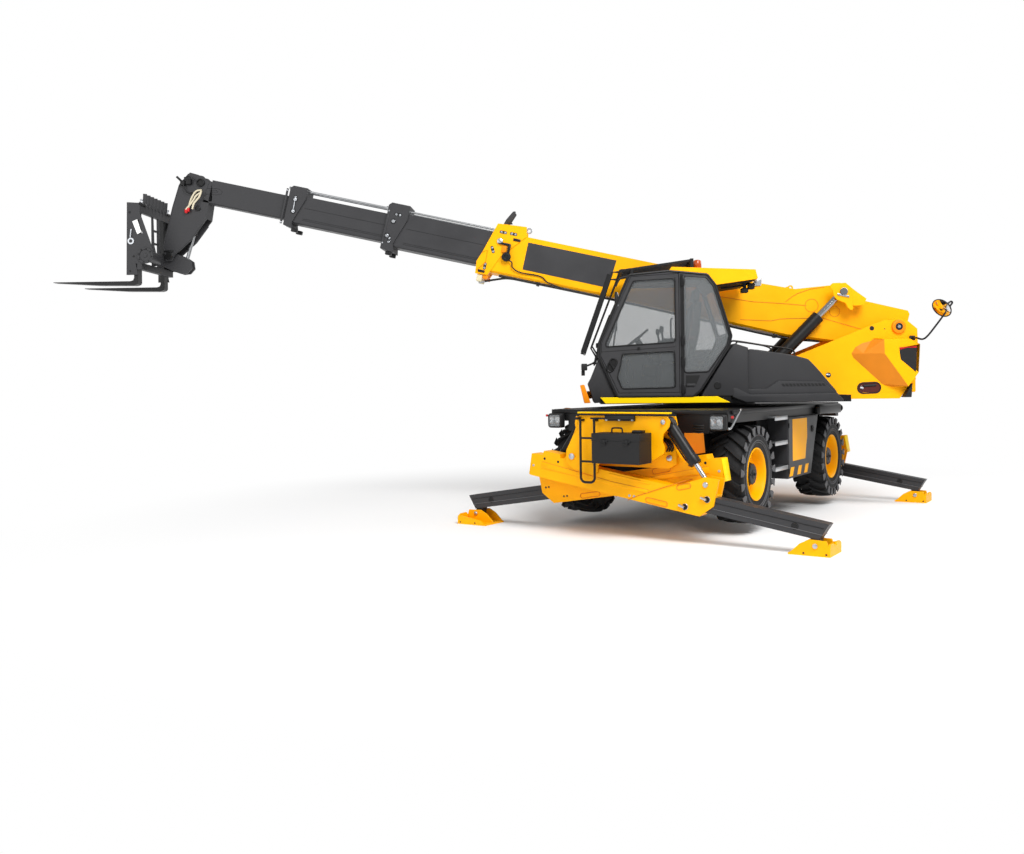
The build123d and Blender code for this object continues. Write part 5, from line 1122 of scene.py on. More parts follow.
@dataclass
class Turret:
    """Covers, tower bulges, lamps and mirror of the slewing superstructure."""

    left_face: float = 0.34
    right_face: float = -0.54

    def build(self) -> None:
        """Make every piece of the superstructure."""
        self._base()
        self._covers()
        self._towers()
        self._mirror()

    def _base(self) -> None:
        """Make the bright sill, the fascia and the nose guard, its yellow paint drawn in painted shade."""
        sill, fascia, nose = blanks(TURRET, 3)
        sill.prism([(1.505, 1.584), (1.44, 1.506), (-0.109, 1.506), (0.05, 1.584)], 1.2, 1.222, 0.004, 1)
        sill.prism([(1.3, 1.584), (1.25, 1.506), (-0.109, 1.506), (-0.109, 1.584)], -1.222, -1.2, 0.004, 1)
        sill.show("sill_films", LIME)
        side = [(1.512, 2.07), (1.61, 1.83), (1.652, 1.756), (1.58, 1.512), (1.5, 1.52), (1.3, 1.6)]
        fascia.prism(side, 0.25, 1.19, 0.012, 2)
        fascia.show("front_fascia", COVER, "dark_grey_paint")
        # The nose guard is yellow paint drawn in the mid painted shade.
        nose.prism([(1.753, 1.74), (1.7, 1.746), (1.622, 1.516), (1.702, 1.512)], 0.32, 1.15, 0.008, 2)
        nose.box((1.6, 0.4, 1.56), (1.66, 0.5, 1.66), 0.004)
        nose.show("nose_guard", MID_SHADE, "yellow_paint")
        lamp, glass, arm = blanks(TURRET, 3)
        arm.hose([(1.515, 1.1, 2.08), (1.58, 1.1, 2.02), (1.66, 1.08, 1.985)], 0.012, 8)
        lamp.box((1.66, 1.02, 1.925), (1.735, 1.15, 2.01), 0.01)
        lamp.box((1.69, 1.04, 1.86), (1.735, 1.1, 1.925), 0.006)
        glass.box((1.735, 1.03, 1.935), (1.741, 1.14, 2.0), 0.003)
        arm.show("front_lamp_arm", BLACK)
        lamp.show("front_lamp", PLASTIC)
        glass.show("front_lamp_glass", CLEAR)

    def _covers(self) -> None:
        """Make the moulded covers over the engine and the tank, in place of plain blocks."""
        crown = [
            (-0.33, 2.176), (-0.868, 2.093), (-1.078, 2.037), (-1.182, 1.929), (-1.42, 1.64),
            (-1.44, 1.586), (-0.33, 1.586),
        ]
        covers = Shape(TURRET)
        for near, far in ((0.343, 1.15), (-1.15, -0.543)):
            covers.prism(rounded(crown, 0.05, 4), near, far, 0.045, 4)
        wall = [(-0.332, 1.586), (-0.332, 2.185), (-0.165, 2.24), (-0.095, 2.15), (0.255, 1.586)]
        covers.prism(rounded(wall, 0.012, 2), 0.225, 1.212, 0.018, 3)
        piece = covers.show("moulded_covers", COVER, "dark_grey_paint", smooth=28)
        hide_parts("side_covers")
        panel, shelf, fins, cap = blanks(TURRET, 4)
        shape = [
            (-0.235, 1.742), (-0.33, 1.672), (-0.56, 1.672), (-0.7, 1.768), (-1.25, 1.752),
            (-1.39, 1.625), (-1.4, 1.59), (-0.235, 1.59),
        ]
        for near, far in ((1.145, 1.176), (-1.176, -1.145)):
            panel.prism(rounded(shape, 0.02, 3), near, far, 0.012, 3)
        panel.show("cover_panels", COVER, "dark_grey_paint", smooth=25)
        lip = [(-0.135, 1.684), (-0.18, 1.69), (-0.345, 1.604), (-1.415, 1.612), (-1.494, 1.531), (-1.488, 1.506),
            (-0.3, 1.506), (-0.135, 1.57)]
        for near, far in ((1.15, 1.215), (-1.215, -1.15)):
            shelf.prism(rounded(lip, 0.015, 3), near, far, 0.014, 3)
        shelf.show("cover_shelves", COVER, "dark_grey_paint", smooth=25)
        for k in range(12):
            x = -0.74 - k * 0.045
            for y in (1.176, -1.176):
                fins.prism([(x, 1.735), (x - 0.03, 1.735), (x - 0.05, 1.7), (x - 0.02, 1.7)], y, y * 1.004, 0.002, 1)
        fins.show("cover_fins", PLASTIC)
        cap.lathe((0.05, 1.212, 1.72), Axis.Y, [(0, 0.045), (0.006, 0.045), (0.01, 0.04), (0.01, 0)], 28)
        cap.show("cover_cap", BLACK)
        rails = Shape(TURRET)
        rails.hose([(-0.2, 0.6, 2.225), (-0.22, 0.6, 2.285), (-0.3, 0.6, 2.29), (-0.62, 0.6, 2.235), (-1.0, 0.6, 2.17),
            (-1.02, 0.6, 2.05)], 0.012, 8)
        rails.hose([(-0.2, 1.05, 2.225), (-0.215, 1.05, 2.25), (-0.26, 1.02, 2.262), (-0.62, 0.9, 2.205),
            (-0.7, 0.88, 2.12)], 0.01, 8)
        rails.show("cover_rails", BLACK)
        vents = Shape(TURRET)
        for k in range(9):
            y = 0.44 + k * 0.075
            vents.prism([(-0.45, 2.158), (-0.8, 2.104), (-0.8, 2.11), (-0.45, 2.164)], y, y + 0.035, 0.002, 1)
            vents.prism([(-0.45, 2.158), (-0.8, 2.104), (-0.8, 2.11), (-0.45, 2.164)], -y - 0.135, -y - 0.1, 0.002, 1)
        vents.show("cover_vents", PLASTIC)

    def _towers(self) -> None:
        """Make the raised side bulges, their lower front facets in painted shade, rear lamps, slots, hubs and bumpers.
        """
        bulge, shade, skirt, lens, stripe, slot, inner, ends, hub, bore, bump = blanks(TURRET, 11)
        for side in (1, -1):
            face = self.left_face if side > 0 else self.right_face
            out = face + side * 0.15
            mid = face + side * 0.125
            rim = face - side * 0.01
            bulge.facets(
                {
                    "A": (-1.845, rim, 2.141), "B": (-1.905, rim, 2.225), "C": (-2.0, rim, 2.29),
                    "D": (-2.12, rim, 2.318), "E": (-2.229, mid, 2.3), "F": (-2.227, out, 2.11),
                    "G": (-2.536, mid, 1.68), "H": (-2.35, rim, 1.672), "I": (-2.222, rim, 1.704),
                    "J": (-1.88, rim, 2.06), "K": (-2.56, mid, 2.3), "L": (-2.47, mid, 2.19),
                    "M": (-2.48, mid, 2.06), "N": (-2.668, mid, 1.858), "O": (-2.69, mid, 2.23),
                    "P": (-2.56, rim, 2.32), "Q": (-2.695, rim, 2.24), "R": (-2.665, rim, 1.84),
                    "S": (-2.53, rim, 1.66), "T": (-2.229, rim, 2.325), "W": (-1.99, face + side * 0.06, 2.12),
                },
                ["EFLK", "FML", "FGNM", "ETD", "ETPK", "KPQO", "KLO", "GHS", "GSRN", "NRQO"],
            )
            # The bulge's lower front facets, drawn in the deep painted shade where they face away from the light.
            shade.facets(
                {
                    "A": (-1.82, rim, 2.12), "B": (-1.88, rim, 2.215), "C": (-1.985, rim, 2.275),
                    "D": (-2.11, rim, 2.305), "E": (-2.229, mid, 2.3), "F": (-2.227, out, 2.11),
                    "G": (-2.536, mid, 1.68), "H": (-2.35, rim, 1.672), "I": (-2.2, rim, 1.72),
                    "J": (-1.85, rim, 2.05), "W": (-1.975, face + side * 0.07, 2.115),
                },
                ["AWB", "BWC", "CWD", "DWE", "WFE", "AJW", "JIFW", "IHG", "IGF"],
            )
            lens.facets(
                {
                    "K": (-2.42, out - side * 0.016, 2.186), "O": (-2.646, out - side * 0.016, 2.2),
                    "N": (-2.63, out - side * 0.016, 1.868), "M": (-2.436, out - side * 0.016, 2.03),
                    "k": (-2.42, rim, 2.186), "o": (-2.66, rim, 2.2),
                    "n": (-2.646, rim, 1.868), "m": (-2.436, rim, 2.03),
                },
                ["KONM", "KOok", "ONno", "NMmn", "MKkm"],
            )
            stripe.prism([(-2.422, 2.188), (-2.646, 2.203), (-2.645, 2.18), (-2.53, 2.184), (-2.424, 2.158)],
                out - side * 0.018, out - side * 0.012)
            skirt.prism([(-1.655, 1.519), (-2.46, 1.519), (-2.52, 1.6), (-1.655, 1.6)], face - side * 0.001,
                face + side * 0.003)
            flat = stadium((-2.065, 1.662), 0.3, 0.14, -2)
            # The slot is a flat dark plate in painted shade.
            slot.prism(flat, face, face + side * 0.002)
            inner.tube([(a, face + side * 0.002, b) for a, b in flat], 0.009, 6, True)
            inner.tube([(-1.99, face + side * 0.004, 1.69), (-2.15, face + side * 0.004, 1.7)], 0.016, 8)
            ends.tube([(-1.945, face + side * 0.006, 1.672), (-1.985, face + side * 0.006, 1.66)], 0.018, 8)
            ends.box((-1.56, face, 1.83), (-1.5, face + side * 0.01, 1.852), 0.006)
            hub.lathe((PIVOT[0], face, PIVOT[1]), Axis.Y, [(0, 0.092), (side * 0.032, 0.088), (side * 0.037, 0.064),
                (side * 0.032, 0.056), (side * 0.032, 0.0)], 40)
            bore.lathe((PIVOT[0], face + side * 0.031, PIVOT[1]), Axis.Y, [(0, 0.048), (side * 0.003, 0.048),
                (side * 0.004, 0.04), (side * 0.004, 0)], 32)
            ends.lathe((PIVOT[0], face + side * 0.034, PIVOT[1]), Axis.Y, [(0, 0.022), (side * 0.006, 0.02),
                (side * 0.006, 0)], 20)
            for x, z, r in ((-2.108, 2.45, 0.03), (-2.275, 2.44, 0.008), (-1.535, 1.838, 0.034)):
                bore.prism(circle((x, z), r), face, face + side * 0.002)
            bump.prism([(-2.592, 1.722), (-2.579, 1.536), (-2.48, 1.536), (-2.545, 1.64)], face - side * 0.01,
                face + side * 0.12, 0.01)
        bulge.show("tower_bulges", YELLOW, "yellow_paint", smooth=12)
        skirt.show("tower_skirts", YELLOW, "yellow_paint")
        shade.show("tower_bulge_shaded_facets", SHADE, "yellow_paint", smooth=12)
        lens.show("rear_lamp_bodies", PLASTIC)
        stripe.show("rear_lamp_stripes", RED_LENS)
        slot.show("tower_slot_shades", HOLE_SHADE_RED)
        inner.show("slot_rims", PLASTIC)
        ends.show("tower_fittings", ZINC)
        # The pivot rings are yellow paint drawn in the mid painted shade.
        hub.show("pivot_rings", MID_SHADE, "yellow_paint")
        bore.show("pivot_caps", PLASTIC)
        bump.show("rear_bumpers", PLASTIC)
        weight = Shape(TURRET)
        weight.box((-2.69, -0.5, 1.6), (-2.6, 0.3, 1.95), 0.02, 3)
        for y in (-0.42, -0.1, 0.22):
            weight.bolt((-2.69, y, 1.78), Axis.X, -1, 0.02)
        weight.show("counterweight_face", YELLOW, "yellow_paint")

    def _mirror(self) -> None:
        """Make the round rear mirror on its bent arm."""
        arm, foot = blanks(TURRET, 2)
        foot.box((-2.66, 0.34, 2.285), (-2.59, 0.38, 2.345), 0.006)
        arm.hose([(-2.625, 0.365, 2.313), (-2.64, 0.47, 2.31), (-2.71, 0.58, 2.298), (-2.86, 0.6, 2.48),
            (-3.02, 0.6, 2.7), (-3.055, 0.6, 2.752), (-3.03, 0.6, 2.765), (-2.965, 0.6, 2.705)], 0.012, 10)
        normal = Vector((0.713, 0.4, -0.576)).normalized()
        world = (TURRET.x * normal.x + TURRET.y * normal.y + TURRET.z * normal.z).normalized()
        flat = world.cross(WORLD_UP).normalized()
        here = Frame(TURRET.at(-2.925, 0.6, 2.688), flat, world, flat.cross(world) * -1, "turret")
        shell, glass = blanks(here, 2)
        shell.lathe((0, 0, 0), Axis.Y, [(-0.024, 0.0), (-0.022, 0.06), (-0.01, 0.128), (0.004, 0.136), (0.014, 0.133),
            (0.01, 0.124), (-0.004, 0.12)], 48, False)
        shell.box((-0.03, -0.055, -0.03), (0.03, -0.018, 0.03), 0.006)
        glass.lathe((0, 0, 0), Axis.Y, [(0.006, 0.125), (0.016, 0.085), (0.02, 0.04), (0.022, 0.0)], 48, False)
        piece = arm.show("mirror_arm", BLACK, "black_plastic")
        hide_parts("mirror")
        foot.show("mirror_foot", PLASTIC)
        shell.show("mirror_shell", PLASTIC, "black_plastic", smooth=40)
        glass.show("mirror_glass", MIRROR, "mirror_glass", smooth=60)


@dataclass
class Cab:
    """Seals, controls, seat, guards, wiper and lamps of the cab."""

    inner: float = 0.22
    outer: float = 1.22

    def build(self) -> None:
        """Make every piece of the cab."""
        self._seals()
        self._door()
        self._inside()
        self._guards()
        self._lamps()

    def _line(self, shape: Shape, outline: Sequence[Flat], y: float, radius: float) -> None:
        """Add a closed bead along an outline on a side wall."""
        shape.tube([(a, y, b) for a, b in rounded(outline, 0.05, 5)], radius, 6, True)

    def _seals(self) -> None:
        """Make the rubber beads round the panes and the door."""
        upper = [(1.078, 3.034), (0.562, 3.062), (0.562, 2.262), (1.42, 2.214), (1.432, 2.25)]
        lower = [(1.225, 2.128), (0.575, 2.158), (0.568, 1.7), (1.23, 1.69), (1.29, 1.835), (1.25, 1.98)]
        quarter = [(0.462, 3.082), (0.185, 3.066), (0.094, 2.956), (-0.098, 2.334), (-0.066, 2.214), (0.16, 1.892),
            (0.462, 1.88)]
        door, fixed = blanks(TURRET, 2)
        for line in (upper, lower):
            self._line(door, line, self.outer, 0.009)
        door.show("door_seals", HOSE, body="door")
        self._line(fixed, quarter, self.outer, 0.01)
        outline = [(1.133, 3.106), (0.642, 3.148), (0.164, 3.098), (0.064, 2.966), (-0.126, 2.333), (-0.092, 2.199),
            (0.262, 1.656), (0.345, 1.592), (1.292, 1.592), (1.52, 2.105), (1.502, 2.273)]
        self._line(fixed, outline, self.outer - 0.004, 0.016)
        self._line(fixed, outline, self.inner + 0.004, 0.012)
        fixed.show("cab_seals", HOSE)
        # The quarter pane is lightened by a pale glaze, a painted reflection.
        edge = Shape(TURRET)
        edge.prism(rounded(quarter, 0.05, 5), self.outer + 0.0005, self.outer + 0.004)
        edge.show("quarter_pane_reflection", PANE_GLARE)
        trim = Shape(TURRET)
        trim.prism([(0.496, 3.108), (0.466, 3.108), (0.466, 1.6), (0.496, 1.6)], self.outer, self.outer + 0.01, 0.003,
            1)
        for z in (3.02, 2.28, 2.02, 1.68):
            trim.box((0.446, self.outer, z - 0.055), (0.498, self.outer + 0.026, z + 0.055), 0.008)
            trim.tube([(0.48, self.outer + 0.026, z - 0.06), (0.48, self.outer + 0.026, z + 0.06)], 0.012, 10)
        trim.show("door_hinges", BLACK, "black_paint")
        # The step's recess is a flat dark plate in painted shade.
        vent = Shape(TURRET)
        vent.prism([(0.44, 1.85), (0.262, 1.852), (0.31, 1.745), (0.345, 1.7), (0.44, 1.7)], self.outer - 0.002,
            self.outer + 0.003, 0.002, 1)
        vent.show("cab_step_recess_shade", HOSE)
        slats = Shape(TURRET)
        slats.box((0.325, self.outer + 0.003, 1.715), (0.435, self.outer + 0.01, 1.745), 0.003)
        slats.show("cab_step", GREY)

    def _door(self) -> None:
        """Make the door's pressed belt, oval handle, latch and inner grab bar."""
        belt, handle, knob = blanks(TURRET, 3)
        belt.prism([(1.478, 2.19), (1.486, 2.15), (0.57, 2.205), (0.57, 2.245)], self.outer, self.outer + 0.006, 0.003,
            1)
        belt.show("door_belt", GREY, "dark_grey_paint", "door")
        ring = stadium((1.355, 1.985), 0.17, 0.085, 118)
        handle.tube([(a, self.outer + 0.006, b) for a, b in ring], 0.01, 8, True)
        handle.prism(stadium((1.355, 1.985), 0.15, 0.065, 118), self.outer - 0.004, self.outer + 0.002)
        handle.tube([(1.385, self.outer + 0.01, 2.03), (1.328, self.outer + 0.016, 1.94)], 0.012, 8)
        handle.show("door_handle", BLACK, body="door")
        knob.lathe((1.02, self.outer, 2.19), Axis.Y, [(0, 0.022), (0.014, 0.02), (0.016, 0)], 16)
        knob.show("window_latch", BLACK, body="door")
        grab = Shape(TURRET)
        grab.hose([(0.6, self.outer - 0.045, 2.56), (0.61, self.outer - 0.095, 2.53), (0.61, self.outer - 0.095, 2.34),
            (0.6, self.outer - 0.045, 2.31)], 0.011, 8)
        grab.hose([(1.14, self.outer - 0.045, 2.06), (1.16, self.outer - 0.1, 2.02), (1.16, self.outer - 0.1, 1.8),
            (1.14, self.outer - 0.045, 1.76)], 0.012, 8)
        grab.show("door_grab_bars", BLACK, body="door")

    def _inside(self) -> None:
        """Make the seat, wheel, console, levers, screen and lining."""
        cushion, base, lever, dash, screen, belt = blanks(TURRET, 6)
        cushion.prism(rounded([(0.35, 2.01), (0.84, 2.03), (0.86, 2.11), (0.8, 2.135), (0.36, 2.105)], 0.03), 0.49,
            0.97, 0.035, 3)
        cushion.prism(rounded([(0.3, 2.105), (0.42, 2.115), (0.33, 2.73), (0.27, 2.79), (0.2, 2.78), (0.23, 2.4)],
            0.03), 0.5, 0.96, 0.04, 3)
        cushion.prism(rounded([(0.22, 2.8), (0.31, 2.8), (0.285, 2.96), (0.205, 2.96)], 0.03), 0.6, 0.86, 0.03, 3)
        cushion.box((0.4, 0.405, 2.27), (0.72, 0.475, 2.32), 0.02, 3)
        cushion.box((0.4, 0.985, 2.27), (0.72, 1.055, 2.32), 0.02, 3)
        piece = cushion.show("seat_cushions", FABRIC, "seat_fabric", smooth=40)
        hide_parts("seat")
        base.prism([(0.43, 1.628), (0.76, 1.628), (0.72, 2.01), (0.44, 2.01)], 0.54, 0.92, 0.03, 2)
        base.box((0.38, 0.4, 2.02), (0.74, 0.5, 2.268), 0.02)
        base.box((0.38, 0.965, 2.02), (0.74, 1.06, 2.268), 0.02)
        base.show("seat_base", PLASTIC)
        for y in (0.44, 1.02):
            lever.tube([(0.7, y, 2.31), (0.715, y, 2.39)], 0.013, 10)
            lever.lathe((0.718, y, 2.39), Axis.Z, [(0, 0.018), (0.02, 0.027), (0.07, 0.027), (0.085, 0.015),
                (0.085, 0)], 16)
        lever.show("joysticks", PLASTIC)
        tilt = TURRET.moved(1.02, 0.72, 2.33).turned(radians(38))
        ring = [(a, b, 0) for a, b in circle((0, 0), 0.185, 36)]
        wheel = Shape(tilt)
        wheel.tube(ring, 0.015, 10, True)
        for a in (90, 210, 330):
            wheel.tube([(0, 0, -0.015), (0.18 * cos(radians(a)), 0.18 * sin(radians(a)), 0)], 0.013, 8)
        wheel.lathe((0, 0, -0.03), Axis.Z, [(0, 0.045), (0.03, 0.05), (0.045, 0.03), (0.045, 0)], 24)
        wheel.tube([(0, 0, -0.02), (0.02, 0, -0.36)], 0.038, 16)
        wheel.show("steering_wheel", PLASTIC)
        dash.prism(rounded([(1.08, 1.628), (1.27, 1.64), (1.4, 1.96), (1.33, 2.12), (1.15, 2.07), (1.06, 1.9)], 0.03),
            0.56, 0.88, 0.03, 3)
        dash.prism([(0.1, 2.1), (0.9, 2.02), (0.92, 1.85), (0.1, 1.85)], 0.27, 0.395, 0.02, 2)
        dash.box((1.18, 0.66, 2.08), (1.255, 0.86, 2.22), 0.015)
        dash.show("console", PLASTIC)
        screen.box((1.25, 0.33, 2.45), (1.275, 0.52, 2.6), 0.008)
        screen.tube([(1.3, 0.3, 2.25), (1.27, 0.4, 2.48)], 0.012, 8)
        screen.show("display", PLASTIC)
        belt.hose([(0.31, 0.985, 2.66), (0.36, 1.005, 2.4), (0.42, 1.01, 2.18)], 0.009, 6)
        belt.box((0.3, 0.975, 2.3), (0.36, 1.01, 2.34), 0.004)
        belt.show("seat_belt", HOLE_SHADE_RED)
        lining = Shape(TURRET)
        lining.box((0.14, 0.275, 3.045), (1.02, 1.165, 3.07), 0.01)
        lining.box((0.43, 1.15, 1.64), (0.52, 1.178, 3.05), 0.01)
        lining.show("cab_lining", GREY)
        blind = Shape(TURRET)
        blind.tube([(1.1, 0.3, 2.985), (1.1, 1.14, 2.985)], 0.024, 12)
        blind.prism([(1.245, 2.7), (1.205, 2.7), (1.13, 2.88), (1.165, 2.885)], 0.95, 1.12, 0.01)
        blind.show("roller_blind", PLASTIC)

    def _guards(self) -> None:
        """Make the windscreen guard's bars, the wiper and the cab mirror."""
        bars = Shape(TURRET)
        for y in (0.3, 1.14):
            bars.tube([(1.24, y, 3.15), (1.335, y, 3.152), (1.69, y, 2.145)], 0.016, 8)
            bars.tube([(1.252, y, 3.12), (1.6, y, 2.23), (1.535, y, 2.12)], 0.013, 8)
            bars.tube([(1.535, y, 2.12), (1.56, y, 2.0)], 0.013, 8)
        for y in (0.285, 1.11):
            bars.prism([(1.345, 3.12), (1.395, 3.138), (1.742, 2.16), (1.69, 2.145)], y, y + 0.045, 0.006, 1)
        for k in range(10):
            y = 0.3 + 0.84 * k / 9
            bars.tube([(1.345, y, 3.12), (1.69, y, 2.145)], 0.007, 6)
        for a, z in ((1.342, 3.13), (1.52, 2.625), (1.69, 2.145)):
            bars.tube([(a, 0.3, z), (a, 1.14, z)], 0.01, 8)
        bars.show("screen_guard", BLACK, "black_paint")
        wiper = Shape(TURRET)
        wiper.tube([(1.525, 0.9, 2.25), (1.365, 0.8, 2.64)], 0.008, 6)
        wiper.tube([(1.425, 0.8, 2.48), (1.29, 0.8, 2.79)], 0.007, 6)
        wiper.box((1.49, 0.85, 2.215), (1.545, 0.95, 2.275), 0.008)
        wiper.show("wiper", BLACK)
        mirror, glass = blanks(TURRET, 2)
        mirror.hose([(1.15, 1.215, 3.09), (1.24, 1.24, 3.06), (1.3, 1.235, 2.96)], 0.011, 8)
        mirror.box((1.27, 1.14, 2.66), (1.31, 1.215, 2.9), 0.015)
        glass.box((1.264, 1.15, 2.675), (1.271, 1.207, 2.885), 0.002)
        mirror.show("cab_mirror", PLASTIC)
        glass.show("cab_mirror_glass", MIRROR, "mirror_glass")

    def _lamps(self) -> None:
        """Make the beacon, the roof's rear work lamp and its wiring."""
        foot, dome, inner = blanks(TURRET, 3)
        foot.lathe((0.23, 0.78, 3.19), Axis.Z, [(0, 0.062), (0.02, 0.062), (0.026, 0.056), (0.026, 0)], 32)
        dome.lathe((0.23, 0.78, 3.216), Axis.Z, [(0, 0.052), (0.006, 0.054), (0.095, 0.05), (0.112, 0.042),
            (0.119, 0.02), (0.12, 0)], 32)
        inner.lathe((0.23, 0.78, 3.216), Axis.Z, [(0, 0.03), (0.05, 0.03), (0.07, 0.015), (0.07, 0)], 16)
        piece = foot.show("beacon_foot", PLASTIC)
        dome_piece = dome.show("beacon_dome", AMBER, "amber_lens", smooth=50)
        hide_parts("beacon")
        inner.show("beacon_motor", BLACK)
        body, glass, wires = blanks(TURRET, 3)
        body.box((-0.53, 0.945, 2.96), (-0.46, 1.065, 3.062), 0.012)
        for k in range(5):
            body.box((-0.46, 0.955, 2.968 + 0.019 * k), (-0.446, 1.055, 2.976 + 0.019 * k), 0.001)
        body.hose([(-0.5, 1.0, 3.062), (-0.47, 1.0, 3.075), (-0.41, 1.0, 3.045)], 0.009, 8)
        glass.box((-0.537, 0.955, 2.968), (-0.53, 1.055, 3.054), 0.003)
        body.show("rear_lamp", ZINC)
        glass.show("rear_lamp_glass", CLEAR, "clear_lens")
        wires.box((-0.37, 0.95, 2.88), (-0.285, 1.06, 2.94), 0.01)
        wires.box((-0.45, 0.95, 2.925), (-0.372, 1.06, 3.0), 0.01)
        wires.box((-0.35, 0.98, 2.935), (-0.31, 1.02, 3.01), 0.004)
        wires.hose([(-0.4, 0.95, 3.0), (-0.2, 0.93, 2.965), (-0.05, 0.9, 2.955)], 0.012, 8)
        wires.show("roof_wiring", PLASTIC)
        under = Shape(TURRET)
        under.prism([(-0.43, 3.033), (-0.01, 2.973), (0.05, 2.966), (0.05, 2.952), (-0.01, 2.955), (-0.4, 3.01)], 0.26,
            1.18, 0.004, 1)
        under.show("roof_underside", PLASTIC)


@dataclass
class Boom:
    """Plates, pads, pipes, hoses and bolts of the telescopic boom."""

    side_face: float = 0.2005
    mouth_face: float = 0.2145
    hook_face: float = 0.402
    pipe_height: float = 0.228

    def build(self) -> None:
        """Make every piece of the boom."""
        self._outer()
        self._collars()
        self._pipes()
        self._underside()

    def _sides(self, shape: Shape, outline: Sequence[Flat], face: float, depth: float, bevel: float = 0.0) -> None:
        """Add the same flat plate on the left and right of the boom.

        Args:
            shape: the mesh that takes the plates.
            outline: the plate's corners, along and above.
            face: how far its inner face stands from the boom's middle.
            depth: its thickness.
            bevel: width of the rounding of its edges.
        """
        for side in (1, -1):
            near, far = side * face, side * (face + depth)
            shape.prism(outline, near, far, bevel, 1)

    def _outer(self) -> None:
        """Make the outer section's plain dark panel, seams in painted shade and lift pin."""
        panel, seams, guard, pin, keeper = blanks(BOOM, 5)
        self._sides(panel, [(3.812, 0.138), (5.043, 0.135), (5.043, -0.242), (3.85, -0.252)], self.side_face, 0.002)
        panel.show("boom_side_panels", GREY)
        for side in (1, -1):
            y = side * self.side_face
            # The weld seams and rings are drawn in the deep painted shade that lines them.
            for line in BOOM_WELDS:
                seams.tube([(a, y, b) for a, b in line], 0.005, 6)
            for centre, radius in (((1.114, 0.073), 0.088), ((0.798, 0.056), 0.07)):
                seams.tube([(a, y, b) for a, b in circle(centre, radius, 28)], 0.004, 6, True)
            hook = [(0.987, 0.34), (0.95, 0.395), (0.86, 0.418), (0.793, 0.416), (0.7, 0.36), (0.65, 0.25),
                (0.612, 0.11), (0.64, 0.088), (0.69, 0.118), (0.73, 0.168), (0.85, 0.19), (0.905, 0.24), (0.93, 0.3)]
            guard.prism(rounded(hook, 0.03, 4), side * 0.3905, side * self.hook_face, 0.003, 1)
        guard.show("lift_pin_hooks", YELLOW, "yellow_paint")
        seams.show("boom_seams_in_shade", SHADE, "yellow_paint")
        for side in (1, -1):
            face = side * self.hook_face
            pin.pin_head((0.785, face, 0.314), Axis.Y, 0.052, (side * 0.018, side * 0.024), 0.006, 28)
            keeper.box((0.7, face, 0.25), (0.86, face + side * 0.014, 0.276), 0.003)
            keeper.bolt((0.72, face + side * 0.014, 0.263), Axis.Y, side, 0.009)
            keeper.bolt((0.84, face + side * 0.014, 0.263), Axis.Y, side, 0.009)
        pin.show("lift_pins", CHROME, "chromed_steel")
        keeper.show("lift_pin_keepers", ZINC, "zinc_steel")
        lug = Shape(BOOM)
        for y in (0.1, -0.1):
            lug.lathe((1.422, y - 0.01, 0.262), Axis.Y, [(0, 0.036), (0.02, 0.036), (0.02, 0.018), (0, 0.018),
                (0, 0.036)], 20, False)
        lug.show("lifting_lugs", YELLOW, "yellow_paint")

    def _collars(self) -> None:
        """Make the bolted collar plates, slide pads and mouth fittings of the sections."""
        pads, low, cream = blanks(BOOM, 3)
        face = self.mouth_face
        self._slots("boom_outer", 0.214, MOUTH_SLOTS)
        for side in (1, -1):
            lo, hi = side * face, side * (face + 0.012)
            pads.box((5.15, lo, 0.115), (5.25, hi, 0.15), 0.004)
            low.box((5.545, lo, -0.395), (5.64, hi, -0.362), 0.004)
        pads.show("collar_pads", BLACK)
        low.show("collar_low_pads", BLACK)
        for y in (0.105, -0.195):
            cream.box((5.565, y, -0.52), (5.64, y + 0.09, -0.424), 0.01)
        cream.show("mouth_wear_pads", CREAM)
        fork, lamp, stay, ends = blanks(BOOM, 4)
        for y in (0.075, -0.1):
            fork.prism([(5.45, 0.292), (5.415, 0.4), (5.345, 0.525), (5.315, 0.535), (5.305, 0.515), (5.35, 0.4),
                (5.33, 0.38), (5.385, 0.36), (5.385, 0.292)], y, y + 0.025, 0.004, 1)
        fork.show("hose_guides", GREY)
        lamp.lathe((5.293, face, -0.124), Axis.Y, [(0, 0.058), (0.044, 0.064), (0.056, 0.056), (0.058, 0.03),
            (0.05, 0.024), (0.05, 0)], 28)
        lamp.box((5.27, 0.226, 0.03), (5.44, 0.24, 0.062), 0.004)
        lamp.box((5.262, face, -0.08), (5.3, 0.25, 0.05), 0.004)
        lamp.hose([(5.27, 0.245, -0.16), (5.205, 0.24, -0.18), (5.181, 0.23, -0.245), (5.067, 0.222, -0.291),
            (4.788, 0.215, -0.286), (4.67, 0.215, -0.349), (4.489, 0.205, -0.381)], 0.009, 8)
        lamp.show("mouth_sensor", BLACK)
